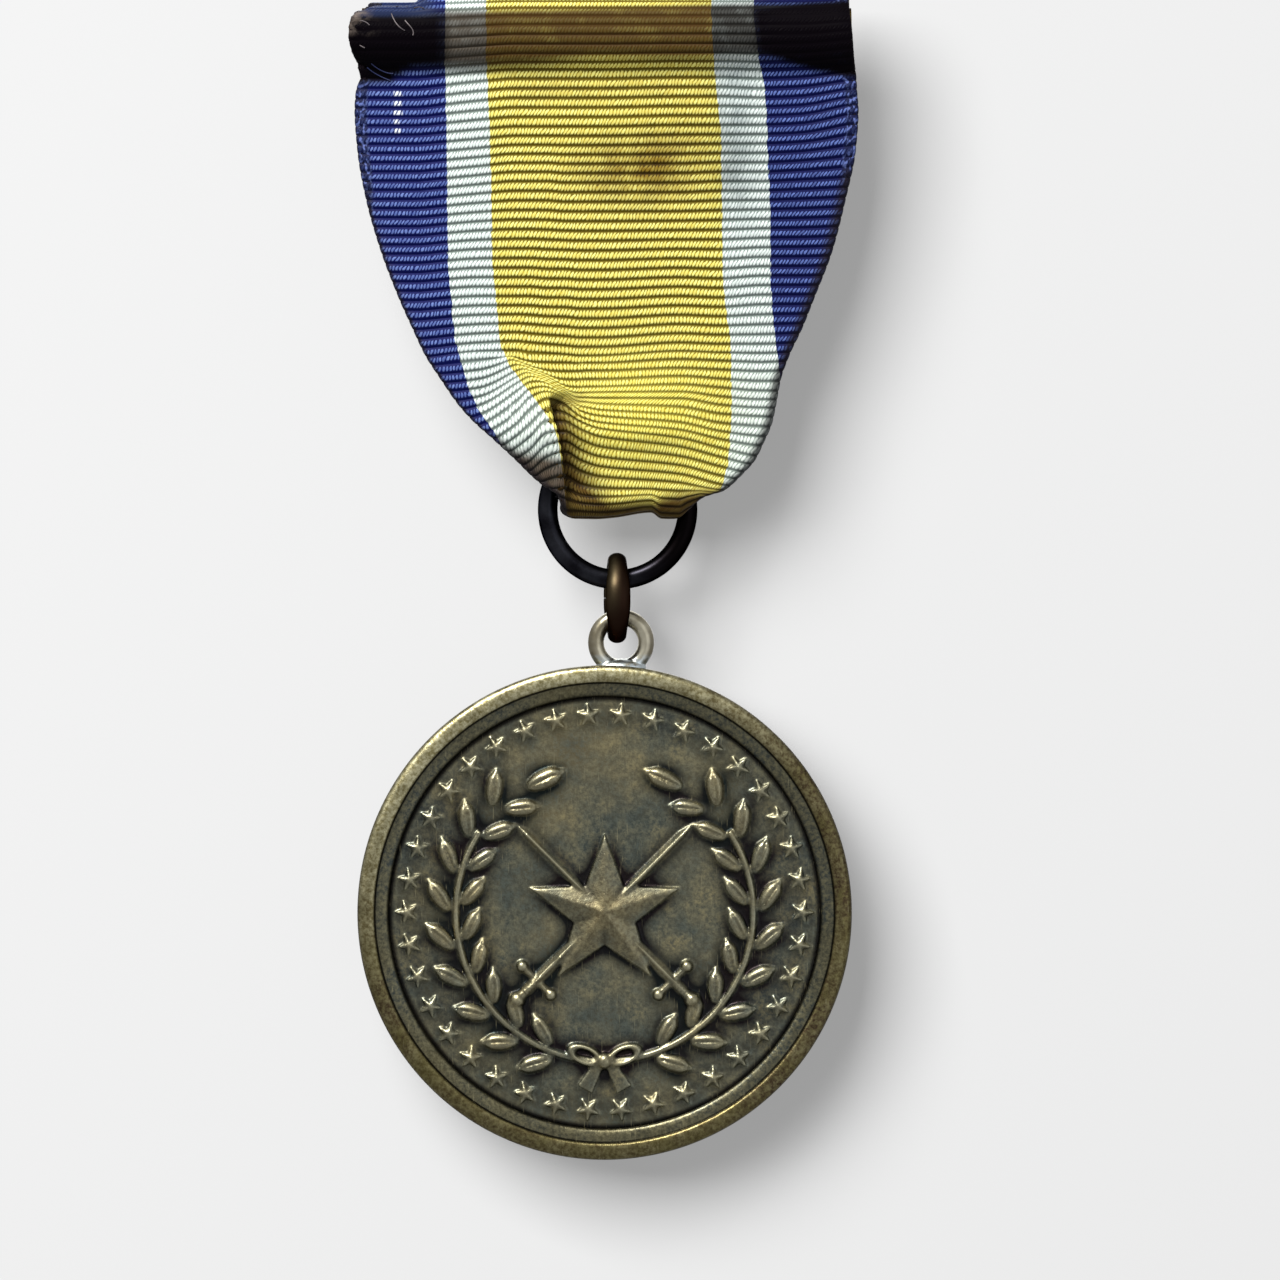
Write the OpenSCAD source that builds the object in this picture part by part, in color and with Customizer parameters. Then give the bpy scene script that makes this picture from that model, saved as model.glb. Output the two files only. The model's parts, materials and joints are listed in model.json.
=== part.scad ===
// Service medal: a struck bronze disc on a link and a ring, hung from a folded
// woven ribbon that is wrapped round a brooch bar with a pin behind it.
// +Z is up, the front faces -Y, and the origin is the middle of the pin's needle.

/* [Ribbon] */
// Width of the ribbon where it is flat
ribbon_w = 34.9; // [34.4:0.1:35.4]
// Thickness of the cloth wall
cloth_t = 1; // [1:0.05:1.1]
// Extra thickness where a side edge is folded behind
flap_t = 0.6; // [0.4:0.05:0.6]
// Height from the needle down to the middle of the ring
ribbon_drop = 32.96; // [32.9:0.02:33.1]
// How far the pleat's ridge stands out at the lower left
pleat_h = 0.55; // [0:0.05:0.7]
// How far the valley beside the pleat goes in
valley_d = 0.75; // [0:0.05:0.8]

/* [Brooch bar] */
// Length of the metal bar inside the ribbon
bar_l = 34; // [32:0.5:34.4]
// Radius of the bar's round front
bar_r = 1.9; // [1.8:0.05:1.95]
// Thickness of the plate behind the round front
bar_plate = 0.3; // [0.3:0.05:0.4]
// Distance from the bar's back to the needle
pin_gap = 3; // [3:0.1:3.2]
// Diameter of the needle
needle_d = 0.9; // [0.7:0.1:1]
// Distance between the pin's two posts
post_span = 26; // [22:1:28]

/* [Ring and link] */
// Outer diameter of the ring in the ribbon
ring_d = 11.12; // [11.1:0.02:11.2]
// Wire diameter of the ring
ring_wire = 1.38; // [1.3:0.02:1.4]
// Outer diameter of the link
link_d = 6.3; // [6.1:0.1:6.5]
// Wire diameter of the link
link_wire = 1.05; // [0.9:0.05:1.05]
// How far the link is turned out of square to the ring
link_turn = 10; // [0:1:10]

/* [Medal] */
// Diameter of the disc
disc_d = 34.4; // [34:0.1:35]
// Thickness over both rims
disc_t = 3; // [2.6:0.1:3]
// Depth of the front field below the rim
field_depth = 0.85; // [0.75:0.05:0.95]
// Depth of the plain back field below the rim
back_depth = 0.5; // [0.3:0.05:0.6]
// Outer diameter of the eye on top of the disc
eye_d = 4.62; // [4.6:0.02:4.7]
// Wire diameter of the eye
eye_wire = 1.12; // [1.06:0.02:1.12]
// Number of small stars in the border
star_count = 38; // [24:1:40]
// Number of leaf pairs on each branch
leaf_pairs = 9; // [6:1:9]

/* [Hidden] */

// Clear space between pieces that touch on the real medal
gap = 0.12;
// Clear space between the ring's wire and the cloth on either side of it
cloth_gap = 0.12;

// Colours of the bare materials
bronze = "#6b5f40";
dark_bronze = "#2f2a2c";
link_bronze = "#5a4a2c";
pin_metal = "#8d7a4a";
ribbon_yellow = "#c2a63c";

// Brooch bar, worked out from the needle towards the front
bar_back_y = -pin_gap;
bar_axis_y = bar_back_y - bar_plate;
needle_tip_l = 2.2;
post_r = 0.8;
catch_w = 2.4;

// Ribbon round the bar
wrap_r = bar_r + 0.1 + cloth_t;
wrap_left = -ribbon_w / 2 - 0.45;
wrap_right = ribbon_w / 2 - 0.1;
wrap_inset = 0.45;
wrap_leave = 50;
hollow_r = 0.9;
wrap_end_z = 1.2;

// Hanging part, ring and tail of the ribbon, from front to back
face_y = bar_axis_y - wrap_r * cos(wrap_leave) + hollow_r * (1 - cos(wrap_leave));
hang_y = face_y + cloth_t + flap_t + cloth_gap + ring_wire / 2;
tail_t = 1.1;
tail_y = hang_y + ring_wire / 2 + cloth_gap + tail_t;
fold_r = 1.5;
fold_z = -ribbon_drop - 0.7;

// Ring, link and eye, each hanging from the one above
ring_x = 0.763;
ring_z = -ribbon_drop;
ring_r = ring_wire / 2;
ring_major = ring_d / 2 - ring_r;
link_x = 0.72;
link_r = link_wire / 2;
link_major = link_d / 2 - link_r;
link_z = ring_z - ring_major + ring_r + gap + link_r - link_major;
eye_x = 1;
eye_r = eye_wire / 2;
eye_major = eye_d / 2 - eye_r;
eye_z = link_z - link_major - 0.473;

// Disc: a small shift to the left of the eye, as on the real one
disc_x = -0.14;
disc_r = disc_d / 2;
disc_z = eye_z - disc_r - 1.59;
rim_top = disc_t / 2;
field_z = rim_top - field_depth;
back_z = -disc_t / 2 + back_depth;
sink = 0.12;
rim_r = disc_r - 1.15;
step_r = disc_r - 2.1;

// Raised work on the field
border_r = 13.75;
wreath_r = 10.35;
wreath_start = -70;
wreath_end = 58;
stem_start = -79;
leaf_l = 2.55;
leaf_w = 1.2;
leaf_h = 0.5;
star_r = 5.4;
sword_l = 17.2;
sword_angle = 45;
hilt_l = 1.9;
guard_l = 2.8;
blade_w = 0.95;
// Half of the leaf's outline: place along it and half width there, as shares
leaf_shape = [[0, 0.12], [0.2, 0.72], [0.45, 1], [0.72, 0.72]];
bow_loop = [[0.3, 0.2], [1.1, 0.95], [2.0, 1.1], [2.5, 0.6], [2.1, -0.1], [1.1, -0.1], [0.3, -0.2]];
bow_tail = [[0.1, -0.1], [0.8, -1.2], [0.85, -1.95], [1.35, -1.6], [1.85, -1.75], [1.5, -0.9], [0.5, -0.1]];

// Columns that the ribbon's tables share: height or angle, then the two side edges
Z = 0;
ANGLE = 0;
LEFT = 1;
RIGHT = 2;

// Columns of the front only: width folded behind at each side, and share of the pleat
FLAP_LEFT = 3;
FLAP_RIGHT = 4;
PLEAT = 5;
front_rows = [
    //  z    left  right  flapL flapR pleat
    [ -3.9, -17.4, 17.4,  0.4,  0.4,  0.0],
    [ -5.3, -17.5, 17.5,  0.4,  0.4,  0.0],
    [ -8.1, -17.3, 17.3,  0.5,  0.5,  0.0],
    [-11.5, -16.7, 16.6,  1.0,  1.2,  0.0],
    [-15.0, -15.7, 15.7,  1.7,  2.2,  0.0],
    [-18.4, -14.4, 14.4,  2.6,  3.6,  0.1],
    [-20.4, -13.5, 13.6,  3.2,  4.6,  0.2],
    [-22.3, -12.6, 12.7,  3.9,  5.6,  0.4],
    [-24.0, -11.5, 12.1,  4.5,  6.4,  0.7],
    [-25.6, -10.4, 11.8,  5.0,  6.6,  1.0],
    [-27.0,  -9.2, 11.5,  5.4,  6.7,  1.0],
    [-28.4,  -7.7, 10.9,  5.9,  6.8,  1.0],
    [-29.6,  -6.3, 10.3,  6.0,  6.9,  1.0],
    [-30.6,  -5.2,  9.4,  5.6,  6.6,  0.9],
    [-31.4,  -4.2,  8.6,  5.2,  6.2,  0.7],
    [-32.0,  -3.5,  8.0,  5.0,  5.8,  0.5],
];
// Where the pleat's edge runs, as height and place across
pleat_line = [[-33, -2.5], [-30.5, -3.0], [-27.9, -3.4], [-25, -4.3], [-21.2, -7.2], [-18, -9.5]];
// Bottom fold through the ring, from its front to its lowest line
fold_rows = [
    // angle left right
    [   0, -3.3, 7.6],
    [ -30, -3.0, 6.6],
    [ -60, -2.9, 5.4],
    [ -90, -3.0, 4.6],
];

// Columns of the tail only: distance forward of its back face, and angle it leans forward
FORWARD = 3;
LEAN = 4;
tail_rows = [
    //  z    left right forward lean
    [-31.0, -3.1, 4.6, 0.00,  0],
    [-29.4, -3.2, 4.7, 0.00,  0],
    [-27.9, -3.3, 4.8, 0.00,  8],
    [-26.6, -3.4, 4.9, 0.35, 22],
    [-25.3, -3.5, 5.0, 0.95, 24],
    [-24.1, -3.5, 5.0, 1.36, 10],
    [-22.9, -3.6, 5.0, 1.45,  0],
    [-21.6, -3.6, 5.0, 1.45,  0],
];

// Columns of one section of the ribbon: where its outer face is in the side view, which way
// that face looks (0 forwards, 90 up, -90 down), its ends, its wall and its relief
FACE_Y = 0;
FACE_Z = 1;
LOOKS = 2;
FROM_X = 3;
TO_X = 4;
WALL = 5;
BACK_LEFT = 6;
BACK_RIGHT = 7;
CROWN = 8;
PLEAT_SHARE = 9;
across = 27;

function plain(y, z, looks, from_x, to_x, wall) = [y, z, looks, from_x, to_x, wall, 0, 0, 0, 0];

// Round the bar: up its back, over the top, and down the front into the hollow under it
function wrap_sections() = let (over_r = wrap_r - bar_r) concat(
    [for (z = [wrap_end_z, bar_r]) plain(bar_back_y + over_r, z, 180,
        wrap_left + wrap_inset, wrap_right - wrap_inset, cloth_t)],
    [for (a = [160, 130, 100]) plain(bar_back_y - over_r * cos(a), bar_r + over_r * sin(a), a,
        wrap_left + wrap_inset, wrap_right - wrap_inset, cloth_t)],
    [for (a = [84 : -16.75 : -wrap_leave]) let (inset = wrap_inset * pow(sin(a), 2))
        plain(bar_axis_y - wrap_r * cos(a), wrap_r * sin(a), a,
            wrap_left + inset, wrap_right - inset, cloth_t)],
    [for (a = [-34, -14]) plain(face_y - hollow_r * (1 - cos(a)),
        -wrap_r * sin(wrap_leave) - hollow_r * (sin(wrap_leave) + sin(a)), a,
        wrap_left + wrap_inset, wrap_right - 0.2, cloth_t)]
);

function front_sections() = [for (r = front_rows) [face_y, r[Z], 0, r[LEFT], r[RIGHT], cloth_t,
    r[FLAP_LEFT], r[FLAP_RIGHT], 0.3 * min(1, (r[Z] - fold_z) / 20), r[PLEAT]]];

// The front half of the fold turns down, and the back half mirrors it up to the tail
function fold_sections() = concat(
    [for (r = fold_rows) let (a = r[ANGLE]) [face_y + fold_r * (1 - cos(a)),
        fold_z + fold_r * (1 + sin(a)), a, r[LEFT], r[RIGHT], tail_t, 0, 0, 0, 0.4 * (1 + a / 90)]],
    [for (a = [-90 : -30 : -180]) plain(tail_y - fold_r * (1 + cos(a)),
        fold_z + fold_r * (1 + sin(a)), a, -3, 4.5, tail_t)]
);

function tail_sections() = [for (r = tail_rows) plain(tail_y - r[FORWARD], r[Z], -180 - r[LEAN],
    r[LEFT], r[RIGHT], tail_t)];

// Rounded sides: how far a face draws in at distance d from the side edge
function side_round(d, radius) = d >= radius ? 0
    : radius - sqrt(max(0, radius * radius - pow(radius - max(0, d), 2)));

function hump(x, middle, width) = exp(-pow((x - middle) / width, 2));

// Slight bulge of the whole front, the same on both faces
function crown(s, x) = s[CROWN] * (1 - pow((2 * x - s[FROM_X] - s[TO_X]) / (s[TO_X] - s[FROM_X]), 2));

// Ridge and valley beside the pleat's edge, on the outer face only
function pleat(s, x) = let (edge = lookup(s[FACE_Z], pleat_line))
    s[PLEAT_SHARE] * (pleat_h * hump(x, edge - 1, 1.3) - valley_d * hump(x, edge + 1.3, 1.5));

// Where the side edges are folded behind, the wall is thicker, over a step 0.5 wide
function flap_step(s, x) =
    let (left = (s[BACK_LEFT] - x + s[FROM_X]) / 0.5, right = (s[BACK_RIGHT] - s[TO_X] + x) / 0.5)
    flap_t * max(min(1, max(0, left)), min(1, max(0, right)));

function edge_radius(s) = 0.45 * (s[WALL] + (s[BACK_LEFT] > 0 ? flap_t : 0));

function point_at(s, x, depth) = [x, s[FACE_Y] + cos(s[LOOKS]) * depth, s[FACE_Z] - sin(s[LOOKS]) * depth];

// Places across are closer together near the side edges
function across_x(s, i) = s[FROM_X] + (s[TO_X] - s[FROM_X]) * (1 - cos(180 * i / across)) / 2;

function outer_depth(s, x) = side_round(min(x - s[FROM_X], s[TO_X] - x), edge_radius(s))
    - crown(s, x) - pleat(s, x);

function inner_depth(s, x) = s[WALL] + flap_step(s, x) - crown(s, x)
    - side_round(min(x - s[FROM_X], s[TO_X] - x), edge_radius(s));

function outline_of(s) = concat(
    [for (i = [0 : across]) let (x = across_x(s, i)) point_at(s, x, outer_depth(s, x))],
    [for (i = [across : -1 : 0]) let (x = across_x(s, i)) point_at(s, x, inner_depth(s, x))]
);

// Joins closed loops of points, all with the same number of points, into one solid
module loft(loops) {
    n = len(loops[0]);
    last = len(loops) - 1;
    half = n / 2;
    sides = [for (j = [0 : last - 1], i = [0 : n - 1]) let (k = (i + 1) % n)
        each [[j * n + i, j * n + k, (j + 1) * n + k], [j * n + i, (j + 1) * n + k, (j + 1) * n + i]]];
    function cap(base) = [for (i = [0 : half - 2])
        each [[base + i, base + n - 1 - i, base + i + 1], [base + i + 1, base + n - 1 - i, base + n - 2 - i]]];
    start = cap(0);
    end = [for (f = cap(last * n)) [f[2], f[1], f[0]]];
    polyhedron([for (l = loops) each l], concat(sides, start, end));
}

// Folded ribbon: round the bar, down the front, through the ring and up behind it
module ribbon() {
    sections = concat(wrap_sections(), front_sections(), fold_sections(), tail_sections());
    color(ribbon_yellow)
        loft([for (s = sections) outline_of(s)]);
}

// Bar with a round front inside the ribbon, with the pin soldered to its back
module brooch() {
    color(pin_metal) {
        difference() {
            translate([0, bar_axis_y, 0])
                rotate([0, 90, 0])
                    cylinder(h = bar_l, r = bar_r, center = true, $fn = 64);
            translate([-bar_l, bar_axis_y, -2 * bar_r])
                cube([2 * bar_l, 4 * bar_r, 4 * bar_r]);
        }
        translate([-bar_l / 2, bar_axis_y, -bar_r])
            cube([bar_l, bar_plate, 2 * bar_r]);
        pin();
    }
}

// Hinge post, needle with a turned point, and the catch that holds it
module pin() {
    post_l = pin_gap + 0.1;
    for (side = [-1, 1])
        translate([side * post_span / 2, bar_back_y - 0.1, 0])
            rotate([-90, 0, 0])
                cylinder(h = post_l, r = post_r, $fn = 32);
    translate([-post_span / 2, 0, 0])
        rotate([0, 90, 0]) {
            cylinder(h = post_span + 1, r = needle_d / 2, $fn = 24);
            translate([0, 0, post_span + 1])
                cylinder(h = needle_tip_l, r1 = needle_d / 2, r2 = 0.08, $fn = 24);
        }
    translate([-post_span / 2, 0, 0])
        sphere(r = post_r + 0.25, $fn = 32);
    translate([post_span / 2 - catch_w / 2, 0, 0])
        rotate([0, 90, 0])
            cylinder(h = catch_w, r = post_r + 0.15, $fn = 32);
}

// Round wire bent into a closed ring, lying in the XY plane
module wire_ring(major, r) {
    rotate_extrude($fn = 96)
        translate([major, 0])
            circle(r = r, $fn = 32);
}

// Dark ring held in the ribbon's fold
module ring() {
    color(dark_bronze)
        translate([ring_x, hang_y, ring_z])
            rotate([90, 0, 0])
                wire_ring(ring_major, ring_r);
}

// Link between the ring and the medal's eye, seen edge on from the front
module link() {
    color(link_bronze)
        translate([link_x, hang_y, link_z])
            rotate([0, 0, link_turn])
                rotate([0, 90, 0])
                    wire_ring(link_major, link_r);
}

// Turned blank: rim, step and field in front, rim and plain field behind
module disc() {
    back_rim_r = disc_r - 1.7;
    rotate_extrude($fn = 180)
        polygon([
            [0, back_z], [back_rim_r - 0.6, back_z], [back_rim_r - 0.25, back_z - 0.2],
            [back_rim_r, -rim_top], [disc_r - 0.3, -rim_top], [disc_r, -rim_top + 0.3],
            [disc_r, rim_top - 0.4], [disc_r - 0.12, rim_top - 0.15], [disc_r - 0.4, rim_top],
            [rim_r + 0.15, rim_top], [rim_r, rim_top - 0.06], [rim_r - 0.1, rim_top - 0.36],
            [step_r + 0.2, rim_top - 0.4], [step_r + 0.05, rim_top - 0.48], [step_r - 0.05, field_z],
            [0, field_z],
        ]);
}

// Star outline with its first point upwards
function star_points(points, outer, inner) = [for (i = [0 : 2 * points - 1])
    let (r = i % 2 == 0 ? outer : inner, a = 90 + i * 180 / points) [r * cos(a), r * sin(a)]];

// Small flat stars set round the border, where a legend would be
module border_stars() {
    for (i = [0 : star_count - 1])
        rotate([0, 0, 360 * (i + 0.5) / star_count])
            translate([0, border_r, field_z - sink])
                linear_extrude(height = sink + 0.34)
                    polygon(star_points(5, 0.78, 0.33));
}

// Closed solid on a flat outline: walls up to an edge, and slopes from there to one top point
module ridged(outline, edge_h, apex, depth) {
    n = len(outline);
    bottom = [for (p = outline) [p[0], p[1], -depth]];
    edge = [for (p = outline) [p[0], p[1], edge_h]];
    polyhedron(concat(bottom, edge, [apex, [apex[0], apex[1], -depth]]),
        [for (i = [0 : n - 1]) let (k = (i + 1) % n) each [
            [i, n + i, n + k], [i, n + k, k], [n + i, 2 * n, n + k], [i, k, 2 * n + 1]]]);
}

// Laurel leaf along +Y, with its highest point a little past the middle
module leaf(length) {
    right = [for (s = leaf_shape) [s[1] * leaf_w / 2, s[0] * length]];
    left = [for (i = [len(right) - 1 : -1 : 0]) [-right[i][0], right[i][1]]];
    ridged(concat(right, [[0, length]], left), 0.12, [0, 0.45 * length, leaf_h], sink);
}

// Laurel branch up one side: a stem, leaves in pairs and one leaf at its end
module branch() {
    pitch = (wreath_end - wreath_start) / leaf_pairs;
    rotate([0, 0, stem_start])
        rotate_extrude(angle = wreath_end - stem_start - 3, $fn = 96)
            translate([wreath_r, 0])
                circle(r = 0.24, $fn = 16);
    for (i = [0 : leaf_pairs - 1])
        rotate([0, 0, wreath_start + pitch * i])
            translate([wreath_r, 0, 0]) {
                translate([0.52, -0.1, 0])
                    rotate([0, 0, -34])
                        leaf(leaf_l);
                translate([-0.5, 0.35, 0])
                    rotate([0, 0, 38])
                        leaf(leaf_l * 0.92);
            }
    rotate([0, 0, wreath_end])
        translate([wreath_r - 0.1, 0, 0])
            rotate([0, 0, 8])
                leaf(leaf_l * 1.1);
}

// Straight sword along +Y from its pommel to its point
module sword(length, top) {
    rotate([-90, 0, 0])
        cylinder(h = hilt_l, r = 0.32, $fn = 24);
    sphere(r = 0.55, $fn = 24);
    translate([-guard_l / 2, hilt_l, 0])
        rotate([0, 90, 0])
            cylinder(h = guard_l, r = 0.28, $fn = 24);
    for (side = [-1, 1])
        translate([side * guard_l / 2, hilt_l, 0])
            sphere(r = 0.42, $fn = 24);
    half = blade_w / 2;
    ends = [for (y = [hilt_l + 0.1, length - 1.3]) each [
        [-half, y, -top / 2], [-half, y, 0.1], [0, y, top], [half, y, 0.1], [half, y, -top / 2]]];
    polyhedron(concat(ends, [[0, length, -top / 2], [0, length, 0.06]]), [
        [0, 1, 2, 3, 4], [0, 5, 6, 1], [1, 6, 7, 2], [2, 7, 8, 3], [3, 8, 9, 4], [4, 9, 5, 0],
        [5, 10, 11, 6], [6, 11, 7], [7, 11, 8], [8, 11, 10, 9], [9, 10, 5]]);
}

// Bow that ties the two stems at the foot of the wreath
module bow() {
    translate([0, -wreath_r, 0]) {
        sphere(r = 0.6, $fn = 24);
        for (side = [0, 1])
            mirror([side, 0, 0])
                translate([0, 0, -0.2]) {
                    linear_extrude(height = 0.55)
                        difference() {
                            polygon(bow_loop);
                            polygon([for (p = bow_loop) [1.4, 0.42] + 0.5 * (p - [1.4, 0.42])]);
                        }
                    linear_extrude(height = 0.42)
                        polygon(bow_tail);
                }
    }
}

// Emblem of the front: star over crossed swords inside a laurel wreath
module emblem() {
    ridged(star_points(5, star_r, star_r * 0.42), 0.2, [0, 0, 0.74], 0.11);
    rotate([0, 0, sword_angle])
        translate([0, -sword_l / 2, 0])
            sword(sword_l, 0.42);
    rotate([0, 0, -sword_angle])
        translate([0, -sword_l / 2, 0])
            sword(sword_l, 0.46);
    branch();
    mirror([1, 0, 0])
        branch();
    bow();
}

// Struck disc with its raised work, and the eye soldered on top
module medal() {
    color(bronze) {
        translate([disc_x, hang_y, disc_z])
            rotate([90, 0, 0]) {
                disc();
                border_stars();
                translate([0, 0, field_z])
                    emblem();
            }
        translate([eye_x, hang_y, eye_z])
            rotate([90, 0, 0])
                wire_ring(eye_major, eye_r);
    }
}

brooch();
ribbon();
ring();
link();
medal();
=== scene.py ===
# %% [markdown]
# # A service medal on a folded ribbon
#
# A struck bronze disc hangs from a woven ribbon by an eye, a link and a ring. The ribbon is
# wrapped round a brooch bar with a pin behind it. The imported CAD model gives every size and
# place. This lesson dresses it: cloth with real ribs, wire with a seam, and a disc whose raised
# work is soft and rubbed as a struck and worn piece is.
#
# Everything is modelled in millimetres first, because the small numbers of a medal in metres
# are hard to read, and each piece is brought to metres when it is finished.

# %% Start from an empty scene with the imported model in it
import json
import math

import bmesh
import bpy
import numpy as np
from mathutils import Matrix, Vector

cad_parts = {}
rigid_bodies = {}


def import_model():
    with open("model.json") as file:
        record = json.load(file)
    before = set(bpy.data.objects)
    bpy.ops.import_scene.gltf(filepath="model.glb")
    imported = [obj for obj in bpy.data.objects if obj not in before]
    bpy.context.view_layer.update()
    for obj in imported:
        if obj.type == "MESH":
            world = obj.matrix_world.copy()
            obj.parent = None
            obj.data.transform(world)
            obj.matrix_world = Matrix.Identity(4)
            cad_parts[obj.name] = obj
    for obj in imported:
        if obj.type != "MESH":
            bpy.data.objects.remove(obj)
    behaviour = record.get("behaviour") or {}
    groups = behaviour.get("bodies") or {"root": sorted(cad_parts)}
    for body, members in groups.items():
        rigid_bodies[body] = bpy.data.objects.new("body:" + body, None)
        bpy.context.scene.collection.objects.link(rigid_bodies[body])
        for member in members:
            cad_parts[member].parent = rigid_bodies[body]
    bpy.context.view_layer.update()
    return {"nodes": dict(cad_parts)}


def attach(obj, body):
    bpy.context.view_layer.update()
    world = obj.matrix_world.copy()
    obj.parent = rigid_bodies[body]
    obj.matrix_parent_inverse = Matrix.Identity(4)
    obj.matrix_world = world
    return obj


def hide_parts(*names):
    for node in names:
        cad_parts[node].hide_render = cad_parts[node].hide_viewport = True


for leftover in list(bpy.data.objects):
    bpy.data.objects.remove(leftover)
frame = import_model()

# %% [markdown]
# ## Helpers for picking and finishing
#
# Blender's operators act on whatever is selected, so every step first clears the selection and
# then picks its faces or corners by where they are. A finished piece has its place in its mesh
# and its object at the origin, as the CAD nodes do.

# %% Pick an object, pick parts of its mesh, finish it
MM = 0.001
QUARTER_X = (math.pi / 2, 0, 0)         # a quarter turn about X lays a cylinder along Y
QUARTER_Y = (0, math.pi / 2, 0)         # and one about Y lays it along X


def only(*objects):
    """Selects these objects and nothing else, in object mode."""
    if bpy.context.object and bpy.context.object.mode != "OBJECT":
        bpy.ops.object.mode_set(mode="OBJECT")
    bpy.ops.object.select_all(action="DESELECT")
    for one in objects:
        one.select_set(True)
    if objects:
        bpy.context.view_layer.objects.active = objects[0]


def pick(piece, kind, test):
    """Opens the piece in edit mode, with the faces or corners that pass the test selected."""
    only(piece)
    bpy.ops.object.mode_set(mode="EDIT")
    bpy.ops.mesh.select_mode(type=kind)
    bpy.ops.mesh.select_all(action="DESELECT")
    mesh = bmesh.from_edit_mesh(piece.data)
    for part in {"FACE": mesh.faces, "VERT": mesh.verts}[kind]:
        corners = [part.co] if kind == "VERT" else [v.co for v in part.verts]
        middle = sum(corners, Vector()) / len(corners)
        facing = part.normal if kind == "FACE" else None
        if test(middle, facing):
            part.select_set(True)
    mesh.select_flush_mode()
    bmesh.update_edit_mesh(piece.data)


def everything(middle, facing):
    """The test that picks all of a piece."""
    return True


def made(name):
    """The piece that an operator has just added, named and with its place in its mesh."""
    bpy.ops.object.transform_apply(location=True, rotation=True, scale=True)
    piece = bpy.context.object
    piece.name = piece.data.name = name
    return piece


def new(operator, name, **settings):
    """Runs an operator that adds a shape, and names the shape."""
    only()
    operator(**settings)
    return made(name)


def placed(piece, matrix):
    """Moves a piece by a matrix and puts the move in its mesh."""
    piece.matrix_world = matrix
    only(piece)
    return made(piece.name)


def rotation(degrees, axis="Z"):
    """Matrix of a turn about an axis through the origin."""
    return Matrix.Rotation(math.radians(degrees), 4, axis)


def face_outward():
    """Closes an edit: turns all faces of the open mesh outward and goes back to object mode."""
    bpy.ops.mesh.select_all(action="SELECT")
    bpy.ops.mesh.normals_make_consistent(inside=False)
    bpy.ops.object.mode_set(mode="OBJECT")


def modify(piece, kind, **settings):
    """Adds one modifier with its settings and applies it."""
    only(piece)
    change = piece.modifiers.new(kind, kind)
    for setting, value in settings.items():
        setattr(change, setting, value)
    bpy.ops.object.modifier_apply(modifier=change.name)


def joined(name, *parts):
    """Joins the parts into one object."""
    only(*parts)
    bpy.ops.object.join()
    return made(name)


def to_metres(piece):
    """Scales a piece from millimetres to metres and shades it smooth."""
    only(piece)
    piece.scale = (MM, MM, MM)
    bpy.ops.object.transform_apply(location=True, rotation=True, scale=True)
    bpy.ops.object.shade_smooth()
    print(f"{piece.name}: {len(piece.data.polygons)} faces")


# %% Sizes that several pieces share, in millimetres, as in the CAD source
FACE_Y = -4.907                         # front of the hanging ribbon
HANG_Y = -2.497                         # plane in which ring, link and medal hang
TAIL_Y = -0.587                         # back of the ribbon's tail
BAR_Y, BAR_R = -3.3, 3.0                # middle and radius of the wrap round the bar's front
RING = (0.763, -32.96, 4.87, 0.69)      # x, z, radius to the wire's middle, wire radius
LINK = (0.72, -39.12, 2.625, 0.525)
EYE = (1.0, -42.218, 1.75, 0.56)
DISC = (-0.14, -61.008, 17.2)           # x, z, radius

# %% [markdown]
# ## Curves and steps
#
# The ribbon's form comes from short tables of places read off the photograph. Three functions
# turn them into soft shapes: a curve through a table's points, a step and a hill.

# %% A curve through points, a step and a hill
def smooth(at, xs, ys):
    """Smooth curve through the points (xs, ys) that never swings past them."""
    xs = np.asarray(xs, float)
    ys = np.asarray(ys, float)
    width = np.diff(xs)
    slope = np.diff(ys) / width
    lean = np.zeros(len(xs))
    lean[0] = slope[0]
    lean[-1] = slope[-1]
    same = slope[:-1] * slope[1:] > 0
    lean[1:-1][same] = 2 * slope[:-1][same] * slope[1:][same] / (slope[:-1][same] + slope[1:][same])
    at = np.clip(at, xs[0], xs[-1])
    i = np.clip(np.searchsorted(xs, at) - 1, 0, len(width) - 1)
    t = (at - xs[i]) / width[i]
    return (ys[i] * (1 + 2 * t) * (1 - t) ** 2 + lean[i] * width[i] * t * (1 - t) ** 2
            + ys[i + 1] * t * t * (3 - 2 * t) + lean[i + 1] * width[i] * t * t * (t - 1))


def step(value, start, end):
    """Soft step from 0 at start to 1 at end."""
    t = np.clip((value - start) / (end - start), 0, 1)
    return t * t * (3 - 2 * t)


def hill(value, middle, width):
    """Soft bump of height 1 at the middle."""
    return np.exp(-((value - middle) / width) ** 2)


# %% [markdown]
# ## The ribbon: a line seen from the side
#
# The ribbon is one woven band. Seen from the side it starts behind the bar, goes over its top
# and down its front, hangs straight, turns through the ring and ends in a short tail behind.
# A simulated cloth would relax this tight, pressed fold, so the band is drawn along that
# line, as a tailor would press it, and its woven ribs are real waves in the mesh.

# %% The side line, as points with the angle that the cloth faces
FRONT_TOP_Z = -2.987                    # where the band begins to hang straight
FOLD_TOP_Z, FOLD_R = -32.16, 1.5        # where it begins to turn through the ring, and how tightly
TAIL = [(-32.2, 0.0), (-29.4, 0.0), (-27.9, 0.02), (-26.6, 0.35), (-25.3, 0.95), (-24.1, 1.36),
        (-22.9, 1.45), (-21.6, 1.45)]   # heights, and how far the tail leans towards the front


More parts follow.
